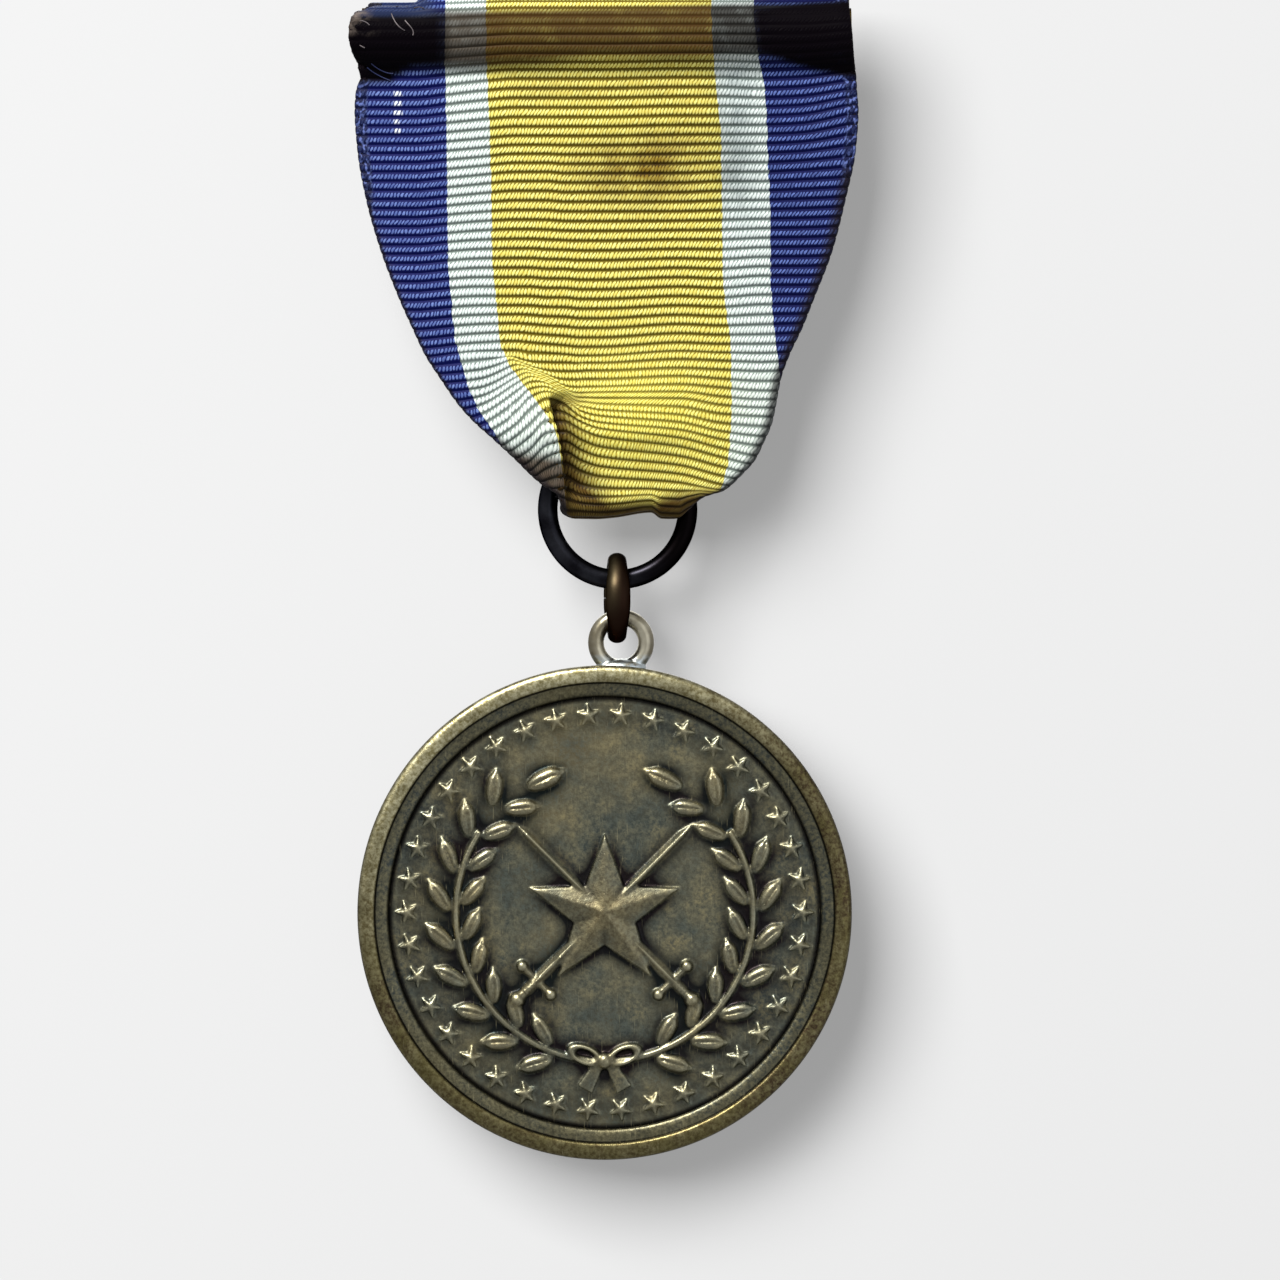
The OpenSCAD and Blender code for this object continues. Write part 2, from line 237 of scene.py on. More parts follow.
def turn(y, z, radius, start, end):
    """Points on an arc of the side line; a negative radius bends the other way."""
    faces = np.linspace(start, end, 48)
    angle = np.radians(faces)
    return np.column_stack([y - radius * np.cos(angle), z + radius * np.sin(angle), faces])


def distances(points):
    """Distance from each point of the side line to the next."""
    return np.hypot(*np.diff(points[:, :2], axis=0).T)


tail_z = np.linspace(-32.0, TAIL[-1][0], 60)
tail_forward = smooth(tail_z, *zip(*TAIL))
tail_lean = np.degrees(np.arctan(np.gradient(tail_forward, tail_z)))
side = np.vstack([
    [[-1.9, 1.2, 180]],
    turn(-3.0, 1.9, 1.1, 180, 90),
    turn(BAR_Y, 0.0, BAR_R, 90, -50),
    turn(FACE_Y - 0.9, FRONT_TOP_Z, -0.9, -50, 0),
    turn(FACE_Y + FOLD_R, FOLD_TOP_Z, FOLD_R, 0, -90),
    turn(TAIL_Y - FOLD_R, FOLD_TOP_Z, FOLD_R, -90, -180),
    np.column_stack([TAIL_Y - tail_forward, tail_z, -180 - tail_lean]),
])
side = side[np.r_[True, distances(side) > 1e-6]]
side_s = np.r_[0, np.cumsum(distances(side))]


def along(y, z):
    """Length along the side line at the place nearest to (y, z)."""
    return side_s[np.argmin(np.hypot(side[:, 0] - y, side[:, 1] - z))]


FRONT_S = along(FACE_Y, FRONT_TOP_Z)
FOLD_S = along(FACE_Y, FOLD_TOP_Z)
BOTTOM_S = along(FACE_Y + FOLD_R, FOLD_TOP_Z - FOLD_R)
TAIL_S = along(TAIL_Y, FOLD_TOP_Z)
END_S = side_s[-1]


def front_s(z):
    """Length along the side line at a height of the hanging front."""
    return FRONT_S + FRONT_TOP_Z - np.asarray(z, float)


print(f"side line: {END_S:.1f} mm long, front from {FRONT_S:.1f} to {FOLD_S:.1f}")

# %% [markdown]
# ## The ribbon: its width and stripes
#
# The band is 34.9 mm wide: navy, white, yellow, white, navy. Going down, both side edges are
# folded further and further behind, so the front gets narrower while the stripes keep their
# width. The tables say where the outline and the stripes run at each height.

# %% Where the edges and the stripes run
WIDTH = 34.9
STRIPES = (6.3, 9.4, 25.3, 28.6)        # ends of navy, white, yellow and white across the band
# Both outlines on the bar: at the band's start behind it, at its top, at four places down its front
WRAP_S = [0.0, along(BAR_Y, BAR_R), along(-5.42, 2.12), along(-6.3, 0.0), along(-5.228, -2.298), FRONT_S]
WRAP_LEFT = [-16.6, -16.65, -17.35, -17.9, -17.35, -17.1]
WRAP_RIGHT = [16.85, 16.9, 16.85, 17.05, 17.25, 17.35]
FRONT = [                               # height, left outline, right outline
    (-3.9, -17.4, 17.4), (-5.3, -17.5, 17.5), (-8.1, -17.3, 17.3), (-11.5, -16.7, 16.6),
    (-15, -15.7, 15.7), (-18.4, -14.4, 14.4), (-20.4, -13.5, 13.6), (-22.3, -12.6, 12.7),
    (-24, -11.5, 12.1), (-25.6, -10.4, 11.8), (-27, -9.2, 11.5), (-28.4, -7.7, 10.9),
    (-29.6, -6.3, 10.3), (-30.6, -5.2, 9.4), (-31.4, -4.2, 8.6), (-32, -3.5, 8.0),
]
front_z, front_left, front_right = zip(*FRONT)
# Both outlines in the fold round the ring and on the tail
AFTER_S = [BOTTOM_S - 1.57, BOTTOM_S - 0.79, BOTTOM_S - 0.35, BOTTOM_S, BOTTOM_S + 0.3,
           TAIL_S, TAIL_S + 6, END_S]
AFTER_LEFT = [-3.0, -2.9, -2.95, -3.0, -3.0, -3.0, -3.4, -3.6]
AFTER_RIGHT = [6.9, 6.1, 5.5, 4.9, 4.6, 4.5, 4.9, 5.0]
outline_s = [*WRAP_S, *front_s(front_z), *AFTER_S]
outline_left = [*WRAP_LEFT, *front_left, *AFTER_LEFT]
outline_right = [*WRAP_RIGHT, *front_right, *AFTER_RIGHT]
# Where each stripe ends: height, place across
NAVY_END = [(-1.8, -11.25), (-3.9, -11.21), (-8.05, -11.14), (-15, -11.07), (-18.7, -10.79),
            (-20.6, -10.65), (-23, -10.1), (-25, -9.47), (-26.9, -8.5), (-28.4, -7.53),
            (-29.6, -6.28), (-31, -4.61)]
WHITE_END = [(-1.8, -8.29), (-8.05, -8.02), (-15, -7.88), (-18.7, -7.6), (-21.6, -7.25),
             (-22.8, -6.77), (-24.2, -5.79), (-25.7, -4.61), (-27.9, -3.37), (-30.5, -3.02),
             (-32, -2.9)]
YELLOW_END = [(2.3, 7.25), (-1.8, 7.46), (-8.05, 7.95), (-15, 8.02), (-18.7, 8.22), (-21.1, 8.57),
              (-26, 8.64), (-27.9, 8.57), (-29.6, 8.43), (-31, 8.08), (-32, 7.75)]
WHITE_2_END = [(1.2, 10.2), (-2, 10.65), (-4, 11.0), (-8.6, 11.2), (-12.2, 11.35), (-17.1, 11.4),
               (-18.7, 11.5), (-21.8, 11.8), (-24, 12.2)]
# How much cloth is folded behind: on the left low down, and the limits elsewhere
HIDDEN_LOW = [(-29.6, 6.28), (-31, 6.35), (-31.7, 7.6), (-32.3, 8.7)]
LEAST_HIDDEN, MOST_LEFT, MOST_RIGHT = 0.35, 6.28, 9.6
print("outline read at", len(outline_s), "places")


# %% Read the tables at any length along the side line
def run(rows, at, before=(), after=()):
    """A table of heights turned to lengths along the side line, and read there."""
    return smooth(at, [*[s for s, _ in before], *front_s([z for z, _ in rows]), *[s for s, _ in after]],
                  [*[x for _, x in before], *[x for _, x in rows], *[x for _, x in after]])


def edges(s):
    """At lengths s: both outlines, the widths hidden behind them, and where the stripes end."""
    left = smooth(s, outline_s, outline_left)
    right = smooth(s, outline_s, outline_right)
    navy = run(NAVY_END, s)
    white = run(WHITE_END, s, after=[(BOTTOM_S, -2.75), (TAIL_S, -2.75), (END_S, -3.3)])
    yellow = run(YELLOW_END, s, after=[(BOTTOM_S - 1.57, 6.7), (BOTTOM_S, 4.8), (TAIL_S, 4.4), (END_S, 4.8)])
    white_2 = run(WHITE_2_END, s)
    shown_left = np.clip(STRIPES[0] - navy + left, LEAST_HIDDEN, MOST_LEFT)
    hidden_left = np.where(s < front_s(HIDDEN_LOW[0][0]), shown_left, run(HIDDEN_LOW, s))
    by_navy = WIDTH - STRIPES[3] - (right - white_2)
    by_yellow = WIDTH - STRIPES[2] - (right - yellow)
    share = np.clip((s - front_s(-22.3)) / 1.8, 0, 1)   # the right navy stripe goes out of sight here
    hidden_right = np.clip(by_navy * (1 - share) + by_yellow * share, LEAST_HIDDEN, MOST_RIGHT)
    return {"left": left, "right": right, "hidden_left": hidden_left, "hidden_right": hidden_right,
            "navy": navy, "white": white, "yellow": yellow, "white_2": white_2}


# %% [markdown]
# ## The ribbon: its pleat and its ribs
#
# At the lower left the cloth is pinched into a pleat: a ridge beside a deep valley. The woven
# ribs run straight across at the top, dip to the left, climb steeply to the ridge and fall into
# the valley. The table holds how far each rib lies below (+) or above (-) its own height in the
# middle of the ribbon, in tenths of a millimetre.

# %% How the ribs run
PITCH = 0.666                           # one woven rib and the gap beside it
RIB_KNOTS = [(0, -16.69), (5, -19.95), (10, -23.11), (13, -24.91), (16, -26.2), (18, -27.06),
             (20, -28.17), (22, -29.46), (27, -32.44)]  # a rib's number below the first free one, height
LAST_KNOT = RIB_KNOTS[-1][0]
DIP_X = [-12.9, -8.8, -6.3, -5.3, -4.1, -2.9, -1.8, -0.5, 5.1, 7.9, 10.7, 13.4, 16.9]
DIPS = [                                # a rib's number, then how far it lies below at each DIP_X
    (-27, 3, 1, 0, 0, 0, 0, 0, 0, 0, 0, 0, 0, -2),
    (-19, 8, 3, 1, 1, 1, 1, 1, 1, 0, 0, 1, 0, -5),
    (-16, 7, 3, 1, 1, 1, 1, 1, 1, 0, 0, 0, -1, -8),
    (-9, 5, 1, -1, -1, -1, 0, 0, 0, 0, -1, -1, -2, -4),
    (2, 2, -1, -1, -1, 0, 0, 1, 1, -1, 0, -2, -2, -3),
    (8, 3, -1, -2, -1, 0, 1, 2, 2, -1, 0, 0, -1, -2),
    (9, 3, -2, -2, 0, 0, 0, 1, 1, -2, -1, 0, -1, -1),
    (10, 3, -1, -8, -13, -20, -24, -28, 0, -2, -1, 0, -1, -1),
    (12, 3, -1, -12, -17, -24, -28, -32, -1, -3, -1, 1, 1, 1),
    (14, 8, 1, -13, -19, -25, -30, -34, -3, -3, 1, 3, 3, 3),
    (16, 17, 6, -10, -18, -20, -20, -24, -3, 0, 5, 7, 8, 8),
    (17, 22, 9, -6, -17, -20, -15, -9, -3, 1, 7, 10, 11, 11),
    (18, 25, 12, -3, -14, -20, -16, -7, -3, 2, 8, 12, 13, 13),
    (20, 29, 17, 2, -6, -17, -16, -10, -5, 2, 9, 15, 16, 16),
    (24, 31, 21, 6, 0, -9, -13, -7, -3, 2, 9, 14, 15, 15),
    (26, 19, 14, 5, 0, -5, -7, -2, 0, 2, 6, 9, 10, 10),
    (29, 0, 0, 0, 0, 0, 0, 0, 0, 0, 0, 0, 0, 0),
]
# Above the crease the ribs run level, so there the slope's columns hold one number for each rib.
LEVEL_ABOVE = {10: 0, 12: -1, 14: -3, 16: -5, 17: -5.5}
SLOPE_COLUMNS = slice(3, 8)
CREASE = [(-6.6, -22.3), (-6.3, -22.6), (-5.9, -22.9), (-5.5, -23.12), (-5.2, -23.35), (-4.7, -23.62),
          (-4.3, -23.85), (-3.8, -24.2), (-3.5, -24.45), (-2.9, -24.93), (-2.5, -25.35), (-2.2, -25.7),
          (-1.9, -26.1), (-1.7, -26.35)]        # across and height
crease_x, crease_z = zip(*CREASE)
CREASE_STEP = 0.13                      # ribs that are gathered in the crease lie this close
dips = np.array(DIPS, float)
level_dips = dips.copy()
for row in level_dips:
    if row[0] in LEVEL_ABOVE:
        row[SLOPE_COLUMNS] = LEVEL_ABOVE[row[0]]


def rib_s(number):
    """Length along the side line, in the middle of the ribbon, of a rib's number."""
    number = np.asarray(number, float)
    counts, heights = zip(*RIB_KNOTS)
    places = front_s(heights)
    inside = smooth(number, counts, places)
    above = places[0] + number * PITCH
    below = places[-1] + (number - LAST_KNOT) * PITCH
    return np.where(number < 0, above, np.where(number > LAST_KNOT, below, inside))


def lower_of(first, second, soft=0.3):
    """The lower of two numbers, with a soft passage from one to the other."""
    return 0.5 * (first + second - np.sqrt((first - second) ** 2 + soft ** 2) + 0.3 * soft)


def dip(number, x):
    """How far along the line a rib lies past its place in the middle, for each x across."""
    def read(rows):
        at_rows = [float(smooth(number, rows[:, 0], rows[:, 1 + k])) for k in range(len(DIP_X))]
        return 0.1 * smooth(x, DIP_X, at_rows)

    slope = read(dips)
    if not 9 < number < 18:             # only these ribs meet the crease
        return slope
    level = read(level_dips)
    gathered_here = np.interp(x, (crease_x[0], crease_x[-1]), (10.2, 17.3))
    crease = front_s(smooth(x, crease_x, crease_z)) - rib_s(number) + CREASE_STEP * (number - gathered_here)
    gathered = lower_of(level, -lower_of(-slope, -crease))
    within = (x > crease_x[0]) & (x < crease_x[-1])
    return np.where(within, gathered, np.where(x < crease_x[0], slope, level))


RIB_FIRST = math.ceil(-rib_s(0) / PITCH)
RIB_LAST = LAST_KNOT + int((END_S - rib_s(LAST_KNOT)) / PITCH)
print(f"ribs: {RIB_FIRST} to {RIB_LAST}")

# %% [markdown]
# The pleat is a table too: a ridge, an undercut and a valley. Places across are measured from
# the ridge, and each row says which cloth it is, where that cloth lies and how far it stands
# out. Further tables say where the ridge runs and how strong it is at each height.

# %% The pleat, as places across and depths
PLEAT = [(-3.5, -3.5, 0.0), (-1.3, -1.27, 0.3), (0, 0, 0.5), (0.3, 0.0, 0.3), (1.0, -0.42, -0.2),
         (2.2, -0.1, -0.7), (3.2, 0.75, -0.72), (5.0, 2.35, -0.35), (7.6, 4.9, 0.0)]
RIDGE_U = [(-19, 11.2), (-24, 10.9), (-25, 10.6), (-25.9, 10.1), (-26.6, 9.75), (-28, 9.45), (-32, 9.45)]
RIDGE_SHARE = [(-18, 0.0), (-21, 0.1), (-23.2, 0.4), (-24.7, 0.85), (-26, 1.0), (-31.0, 1.0), (-32.4, 0.6)]
RIDGE_SHARP = [(-24.6, 0.0), (-26.0, 1.0), (-31.4, 1.0), (-32.4, 0.6)]


def per_cloth(edge):
    """Millimetres across for one millimetre of cloth in the yellow stripe."""
    return (edge["yellow"] - edge["white"]) / (STRIPES[2] - STRIPES[1])


def pleat(u, s, edge):
    """Where smooth cloth would lie, how far the pleat moves it across, and how far it stands out."""
    u_ridge = run(RIDGE_U, s)
    share = run(RIDGE_SHARE, s, before=[(0, 0.0)], after=[(BOTTOM_S, 0.15), (END_S, 0.0)])
    sharp = run(RIDGE_SHARP, s, before=[(0, 0.0)], after=[(BOTTOM_S, 0.0), (END_S, 0.0)])
    plain = edge["white"] + (u - STRIPES[1]) * per_cloth(edge)
    ridge_x = edge["white"] + (u_ridge - STRIPES[1]) * per_cloth(edge)
    du = u - u_ridge
    cloth, lies, stands = np.array(PLEAT).T
    rest_u = STRIPES[2] - u_ridge - cloth[-1]
    beyond = ridge_x + lies[-1] + (du - cloth[-1]) * (edge["yellow"] - ridge_x - lies[-1]) / rest_u
    folded = np.where(du > cloth[-1], beyond, ridge_x + smooth(du, cloth, lies))
    x_move = np.where((du > cloth[0]) & (u < STRIPES[2]), sharp * (folded - plain), 0)
    x_move = np.where(du < 0, x_move * np.clip(1 + du / 1.5, 0, 1), x_move)
    crisp = np.where(np.abs(du - 2) < 6, smooth(du, cloth, stands), 0)
    soft = 0.6 * hill(du, -0.2, 1.5) - 0.45 * hill(du, 2.6, 1.7)
    return plain, x_move, share * (sharp * crisp + (1 - sharp) * soft)


# %% The soft swellings of the front, and the bar's rounded ends
SWELL = [(-22.4, 0.0), (-23.4, 0.08), (-26.6, 0.85), (-27.6, 0.95), (-29.0, 0.55), (-31.0, 0.12),
         (-32.2, 0.0)]
SWELL_ACROSS = [(-7.0, 0.0), (-5.0, 0.45), (-2.5, 1.0), (2.5, 1.0), (5.5, 0.45), (8.5, 0.0)]
CROWN, CROWN_BOTTOM, CROWN_RISE = 0.3, -33.66, 20   # the front's middle stands out more, the higher up
DENT, DENT_WIDTH = 0.06, 0.22           # the crease is a fine dent
LEFT_END, RIGHT_END = (1.3, 1.1), (0.7, 0.6)        # how deep and how wide the bar's ends are rounded
SUNK = 0.95                             # the cloth on the bar's left end has sunk in this far
BAR_CLOTH_END = (12.6, 13.5)            # and does so between these distances from the middle


def swelling(x, plain, s, edge):
    """How far the front's crown and the swell at its lower left stand out, less the crease's dent."""
    z = np.interp(s, side_s, side[:, 1])
    hanging = (s > FRONT_S) & (s < BOTTOM_S)
    t = np.clip((2 * plain - edge["left"] - edge["right"]) / (edge["right"] - edge["left"]), -1, 1)
    high_up = np.clip((z - CROWN_BOTTOM) / CROWN_RISE, 0, 1)
    crown = CROWN * high_up * np.clip((s - FRONT_S) / 3, 0, 1) * (1 - t ** 2)
    swell = smooth(x, *zip(*SWELL_ACROSS)) * run(SWELL, s, before=[(0, 0.0)], after=[(END_S, 0.0)])
    by_crease = (z < crease_z[0] + 0.5) & (z > crease_z[-1] - 0.3)
    dent = DENT * hill(x, smooth(z, crease_z[::-1], crease_x[::-1]), DENT_WIDTH)
    return np.where(hanging, crown + swell - np.where(by_crease, dent, 0), 0)


def rounding(past, depth, width):
    """Falls away as an ellipse does, from 0 to its depth over its width."""
    return depth * (1 - np.sqrt(1 - np.clip(past / width, 0, 1) ** 2))


def bar_ends(plain, s, edge):
    """How far the cloth on the bar falls back towards the bar's two ends."""
    facing_up = np.sin(np.radians(np.clip(np.interp(s, side_s, side[:, 2]), 0, 180)))
    shoulder = step(-plain, *BAR_CLOTH_END) * facing_up ** 2
    left_end = rounding(edge["left"] + LEFT_END[1] - plain, *LEFT_END)
    right_end = rounding(plain - edge["right"] + RIGHT_END[1], *RIGHT_END)
    rounded = (left_end + right_end) * step(s, 1.8, 4.0)    # behind, the wrap turns too tightly for it
    return np.where(s < FRONT_S - 0.6, SUNK * shoulder + rounded, 0)


def front_shape(u, s, edge):
    """Moves cloth across and in depth where the front isn't flat."""
    plain, x_move, out = pleat(u, s, edge)
    out = out + swelling(plain + x_move, plain, s, edge) - bar_ends(plain, s, edge)
    return x_move, out


# %% [markdown]
# ## The ribbon: from tables to a mesh
#
# Rows of points follow the ribs, six to a rib, and columns go from one woven edge behind the
# front, round the folded side edge, across the front, and round to the other woven edge. The
# smooth band is laid first. Then each point moves along its own normal by the rib's round
# section, so that a rib also stands out where the band turns behind. Solidify gives the cloth
# its thickness, more on the bar, where the real band lies double.

# %% Rows and columns of the band
RIB_STEPS = (0.0, 0.1, 0.27, 0.5, 0.73, 0.9)
numbers = np.array([n + f for n in range(RIB_FIRST, RIB_LAST) for f in RIB_STEPS] + [RIB_LAST])
COLUMNS = {"flap": 5, "turn": 6, "left": 13, "pleat": 22, "right": 29}
SEAM_U = (8.95, 15.5)                   # cloth between these carries the pleat and has more columns
TURN_LEFT, TURN_RIGHT = 0.33, 0.36      # radii of the turned side edges
DEEPER = 0.15                           # the right one grows by this in the lower part
FLAP_ROOM = 0.8                         # a flap stops this far short of the other side edge
FLAP_DEPTH = 1.5                        # and lies at most this far behind the side line


def across(hidden_left, hidden_right, turn_left, turn_right):
    """Cloth coordinate of every front column of a row."""
    start = min(hidden_left + turn_left, SEAM_U[0] - 0.05)
    end = WIDTH - hidden_right - turn_right
    return np.concatenate([np.linspace(start, SEAM_U[0], COLUMNS["left"], endpoint=False),
                           np.linspace(*SEAM_U, COLUMNS["pleat"], endpoint=False),
                           np.linspace(SEAM_U[1], end, COLUMNS["right"])])


def place_across(u, edge):
    """Where cloth coordinate u lies across, before the pleat."""
    def line(u_0, x_0, u_1, x_1):
        gap = np.where(np.abs(u_1 - u_0) < 0.05, 0.05, u_1 - u_0)
        return x_0 + (u - u_0) / gap * (x_1 - x_0)

    def navy_shown(hidden):
        return np.clip((6.0 - hidden) / 0.8, 0, 1)

    first_navy, first_white, yellow_end, second_white = STRIPES
    hidden = edge["hidden_left"]
    with_navy = np.where(u < first_navy, line(hidden, edge["left"], first_navy, edge["navy"]),
                         line(first_navy, edge["navy"], first_white, edge["white"]))
    without = line(hidden, edge["left"], first_white, edge["white"])
    x = navy_shown(hidden) * with_navy + (1 - navy_shown(hidden)) * without
    x = np.where(u > first_white, line(first_white, edge["white"], yellow_end, edge["yellow"]), x)
    hidden = edge["hidden_right"]
    end_u = WIDTH - hidden
    with_navy = np.where(u < second_white, line(yellow_end, edge["yellow"], second_white, edge["white_2"]),
                         line(second_white, edge["white_2"], end_u, edge["right"]))
    without = line(yellow_end, edge["yellow"], end_u, edge["right"])
    beyond = navy_shown(hidden) * with_navy + (1 - navy_shown(hidden)) * without
    return np.where(u > yellow_end, beyond, x)


def folded_side(front, outward, hidden, turn_r, room):
    """The round turn at one side edge of a row, and the flap that lies behind the front."""
    end = 0 if outward < 0 else -1
    x_end = front["x"][end]
    d_end = front["d"][end]
    theta = np.radians(np.linspace(0, 180, COLUMNS["turn"] + 2)[1:])
    x_turn = x_end + outward * turn_r * np.sin(theta)
    flat = max(0.05, hidden - turn_r)
    share = np.linspace(0, 1, COLUMNS["flap"] + 1)[1:]
    x_flap = x_end - outward * min(flat, room) * share
    under = np.array([front["d"][np.abs(front["x"] - place) < 0.45].max() for place in x_flap])
    d_flap = np.minimum(np.maximum(2 * turn_r + d_end, under + 2 * turn_r), FLAP_DEPTH)
    d_turn = d_end + (1 - np.cos(theta)) * 0.5 * (d_flap[0] - d_end)
    u_away = np.concatenate([2 * turn_r * theta / math.pi, 2 * turn_r + flat * share])
    return {"x": np.concatenate([x_turn, x_flap]), "d": np.concatenate([d_turn, d_flap]),
            "s": np.full(len(theta) + len(share), front["s"][end]), "u": front["u"][end] + outward * u_away,
            "behind": np.concatenate([np.clip(theta / 1.5, 0, 1), np.ones(len(share))])}


def band_row(number):
    """One row: place across, depth behind the side line, length along it, cloth coordinate, share behind."""
    middle = float(rib_s(number - 0.5))
    edge = edges(np.array([middle]))
    turn_left = min(TURN_LEFT, 0.5 * float(edge["hidden_left"][0]))
    deep = np.clip((middle - front_s(-25.5)) / 4, 0, 1)
    turn_right = min(TURN_RIGHT + DEEPER * deep, 0.5 * float(edge["hidden_right"][0]))
    s = np.full(sum(COLUMNS[k] for k in ("left", "pleat", "right")), middle)
    for _ in range(8):                  # the outline depends on how far the rib dips, and the dip on x
        edge = edges(s)
        u = across(float(edge["hidden_left"][0]), float(edge["hidden_right"][-1]), turn_left, turn_right)
        x_move, out = front_shape(u, s, edge)
        x = place_across(u, edge) + x_move
        s = 0.5 * s + 0.5 * (middle + dip(number - 0.5, x))
    front = {"x": x, "d": -out, "s": s, "u": u, "behind": np.zeros(len(x))}
    room_left = float(edge["right"][-1] - x[0]) - FLAP_ROOM
    room_right = float(x[-1] - edge["left"][0]) - FLAP_ROOM
    if middle > front_s(-24.5):         # lower down the left flap must stop short of the pleat's ridge
        u_ridge = run(RIDGE_U, np.array([middle]))[0]
        first = {key: values[0] for key, values in edge.items()}
        ridge_x = float(first["white"] + (u_ridge - STRIPES[1]) * per_cloth(first))
        room_left = min(room_left, ridge_x - 0.5 - x[0])
    left = folded_side(front, -1, float(edge["hidden_left"][0]), turn_left, room_left)
    right = folded_side(front, 1, float(edge["hidden_right"][-1]), turn_right, room_right)
    return {key: np.concatenate([left[key][::-1], front[key], right[key]]) for key in front}


table = [band_row(n) for n in numbers]
band = {key: np.array([row[key] for row in table]) for key in ("x", "d", "s", "u", "behind")}
print("band:", band["x"].shape, "cloth from", band["u"].min().round(2), "to", band["u"].max().round(2))

# %% Lay the band along its line
facing = np.radians(np.interp(band["s"], side_s, side[:, 2]))
points = np.stack([band["x"],
                   np.interp(band["s"], side_s, side[:, 0]) + np.cos(facing) * band["d"],
                   np.interp(band["s"], side_s, side[:, 1]) - np.sin(facing) * band["d"]], axis=-1)
ROLL_LIFT = [(-3.6, 0.75), (-3.0, 0.42), (-2.2, 0.08), (-1.4, 0.0), (0.5, 0.14), (3.1, 0.5), (3.8, 0.08),
             (5.0, 0.04), (5.6, 0.4), (6.5, 0.85)]      # the turned-in corner hangs lower from 3.8 to 5
in_roll = step(-points[..., 2], 31.2, 33.3)
points[..., 2] += in_roll * smooth(points[..., 0], *zip(*ROLL_LIFT))

# %% Raise the ribs along the band's own normals, and roughen its frayed end
RIB_HEIGHT = 0.15
down = np.gradient(points, numbers, axis=0)
over = np.gradient(points, axis=1)
normal = np.cross(over, down)
normal /= np.maximum(np.linalg.norm(normal, axis=-1, keepdims=True), 1e-9)
front_row = int(np.argmin(np.abs(numbers)))
if normal[front_row, points.shape[1] // 2, 1] > 0:
    normal = -normal
spread = np.clip(np.linalg.norm(down, axis=-1) / PITCH, 0, 1)
phase = np.mod(numbers, 1.0)
section = np.sqrt(np.clip(1 - (2 * phase - 1) ** 2, 0, 1)) - 0.75
worn_ends = step(np.abs(band["x"]), 10.2, 11.8) * step(FRONT_S - band["s"], 0.2, 1.2)
in_bottom = step(-points[..., 2], 32.2, 33.2)
relief_here = (RIB_HEIGHT * np.clip(spread, 0.08, 1) ** 1.5 * (1 - 0.7 * band["behind"])
               * (1 - 0.75 * worn_ends) * (1 - 0.5 * in_bottom))
points = points + normal * (relief_here * section[:, None])[..., None]
FRAY_HEIGHT = 0.015                     # loose fibres make small lumps on the bar's left end
frayed_end = (step(-points[..., 0], 16.2, 17.0) * step(FRONT_S - band["s"], 0.0, 1.0)
              * step(band["s"], 2.4, 3.4))
lumps = np.random.default_rng(11).normal(size=points.shape[:2])
lumps = lumps + np.roll(lumps, 1, axis=0) + np.roll(lumps, 1, axis=1)
points = points + normal * (FRAY_HEIGHT * frayed_end * lumps)[..., None]

# %% Join the points to a mesh of four-sided faces
rows_n, columns_n = points.shape[:2]
index = np.arange(rows_n * columns_n).reshape(rows_n, columns_n)
quads = np.stack([index[:-1, :-1], index[:-1, 1:], index[1:, 1:], index[1:, :-1]], axis=-1).reshape(-1, 4)
mesh = bpy.data.meshes.new("ribbon_band")
mesh.from_pydata((points.reshape(-1, 3) * MM).tolist(), [], quads.tolist())
ribbon = bpy.data.objects.new("ribbon_band", mesh)
bpy.context.scene.collection.objects.link(ribbon)
middle_face = mesh.polygons[front_row * (columns_n - 1) + columns_n // 2]
if middle_face.normal.y > 0:
    mesh.flip_normals()
print("ribbon front faces the viewer:", middle_face.normal.y < 0, "points:", rows_n * columns_n)

# %% [markdown]
# The weave, the soiling, and the painted light and shade on the bar and in the folds need to know
# where on the cloth a point is.
# So the band carries a UV map in millimetres of cloth, and soft masks as attributes. Each mask
# is a product of a few steps and hills over the place of a point, in millimetres.

# %% Cloth coordinates of the ribbon
cloth = np.stack([band["u"], np.repeat(numbers[:, None] * PITCH, columns_n, axis=1)], axis=-1).reshape(-1, 2)
weave = mesh.uv_layers.new(name="weave")
loops = np.zeros(len(mesh.loops), np.int32)
mesh.loops.foreach_get("vertex_index", loops)
weave.data.foreach_set("uv", cloth[loops].astype(np.float32).ravel())
print("weave runs from", cloth.min(axis=0).round(1), "to", cloth.max(axis=0).round(1))

# %% Bar masks: soil and painted shade in the middle, painted shade at the black ends, a faded left corner and its fuzz
X, Y, Z = points.reshape(-1, 3).T
S = band["s"].ravel()
BEHIND = band["behind"].ravel()
on_wrap = (S < FRONT_S + 2) & (Y < -2.6)
# Soil and painted shade: a band round the bar's lower half is darkened, as dirt and as the shade where it
# faces down.
dark_band_low = smooth(X, [-12, -10, -6, 0, 5, 9, 12], [2.4, 2.4, 2.2, 1.65, 1.8, 1.65, 1.7])
dark_band_top = smooth(X, [-10, 0, 9], [1.45, 1.7, 2.0])
soil_and_shade = step(Z, -dark_band_low - 0.75, -dark_band_low + 0.55) * step(-Z, -dark_band_top - 0.5, -dark_band_top + 0.25) * on_wrap
# Painted shade: both ends of the wrap round the bar are painted near black.
left_low = smooth(X, [-17.5, -14.8, -14.2, -13, -11, -10.4], [3.3, 3.2, 2.6, 2.0, 1.9, 1.0])
left_end = step(-X, 10.9, 11.5) * step(Z, -left_low - 0.5, -left_low + 0.2) * step(-Z, -1.35, -0.9)
right_low = smooth(X, [10.2, 11, 13, 15, 17], [1.0, 1.3, 2.1, 2.6, 3.0])
right_top = smooth(X, [10.2, 11, 14, 17], [1.5, 1.6, 2.0, 2.2])
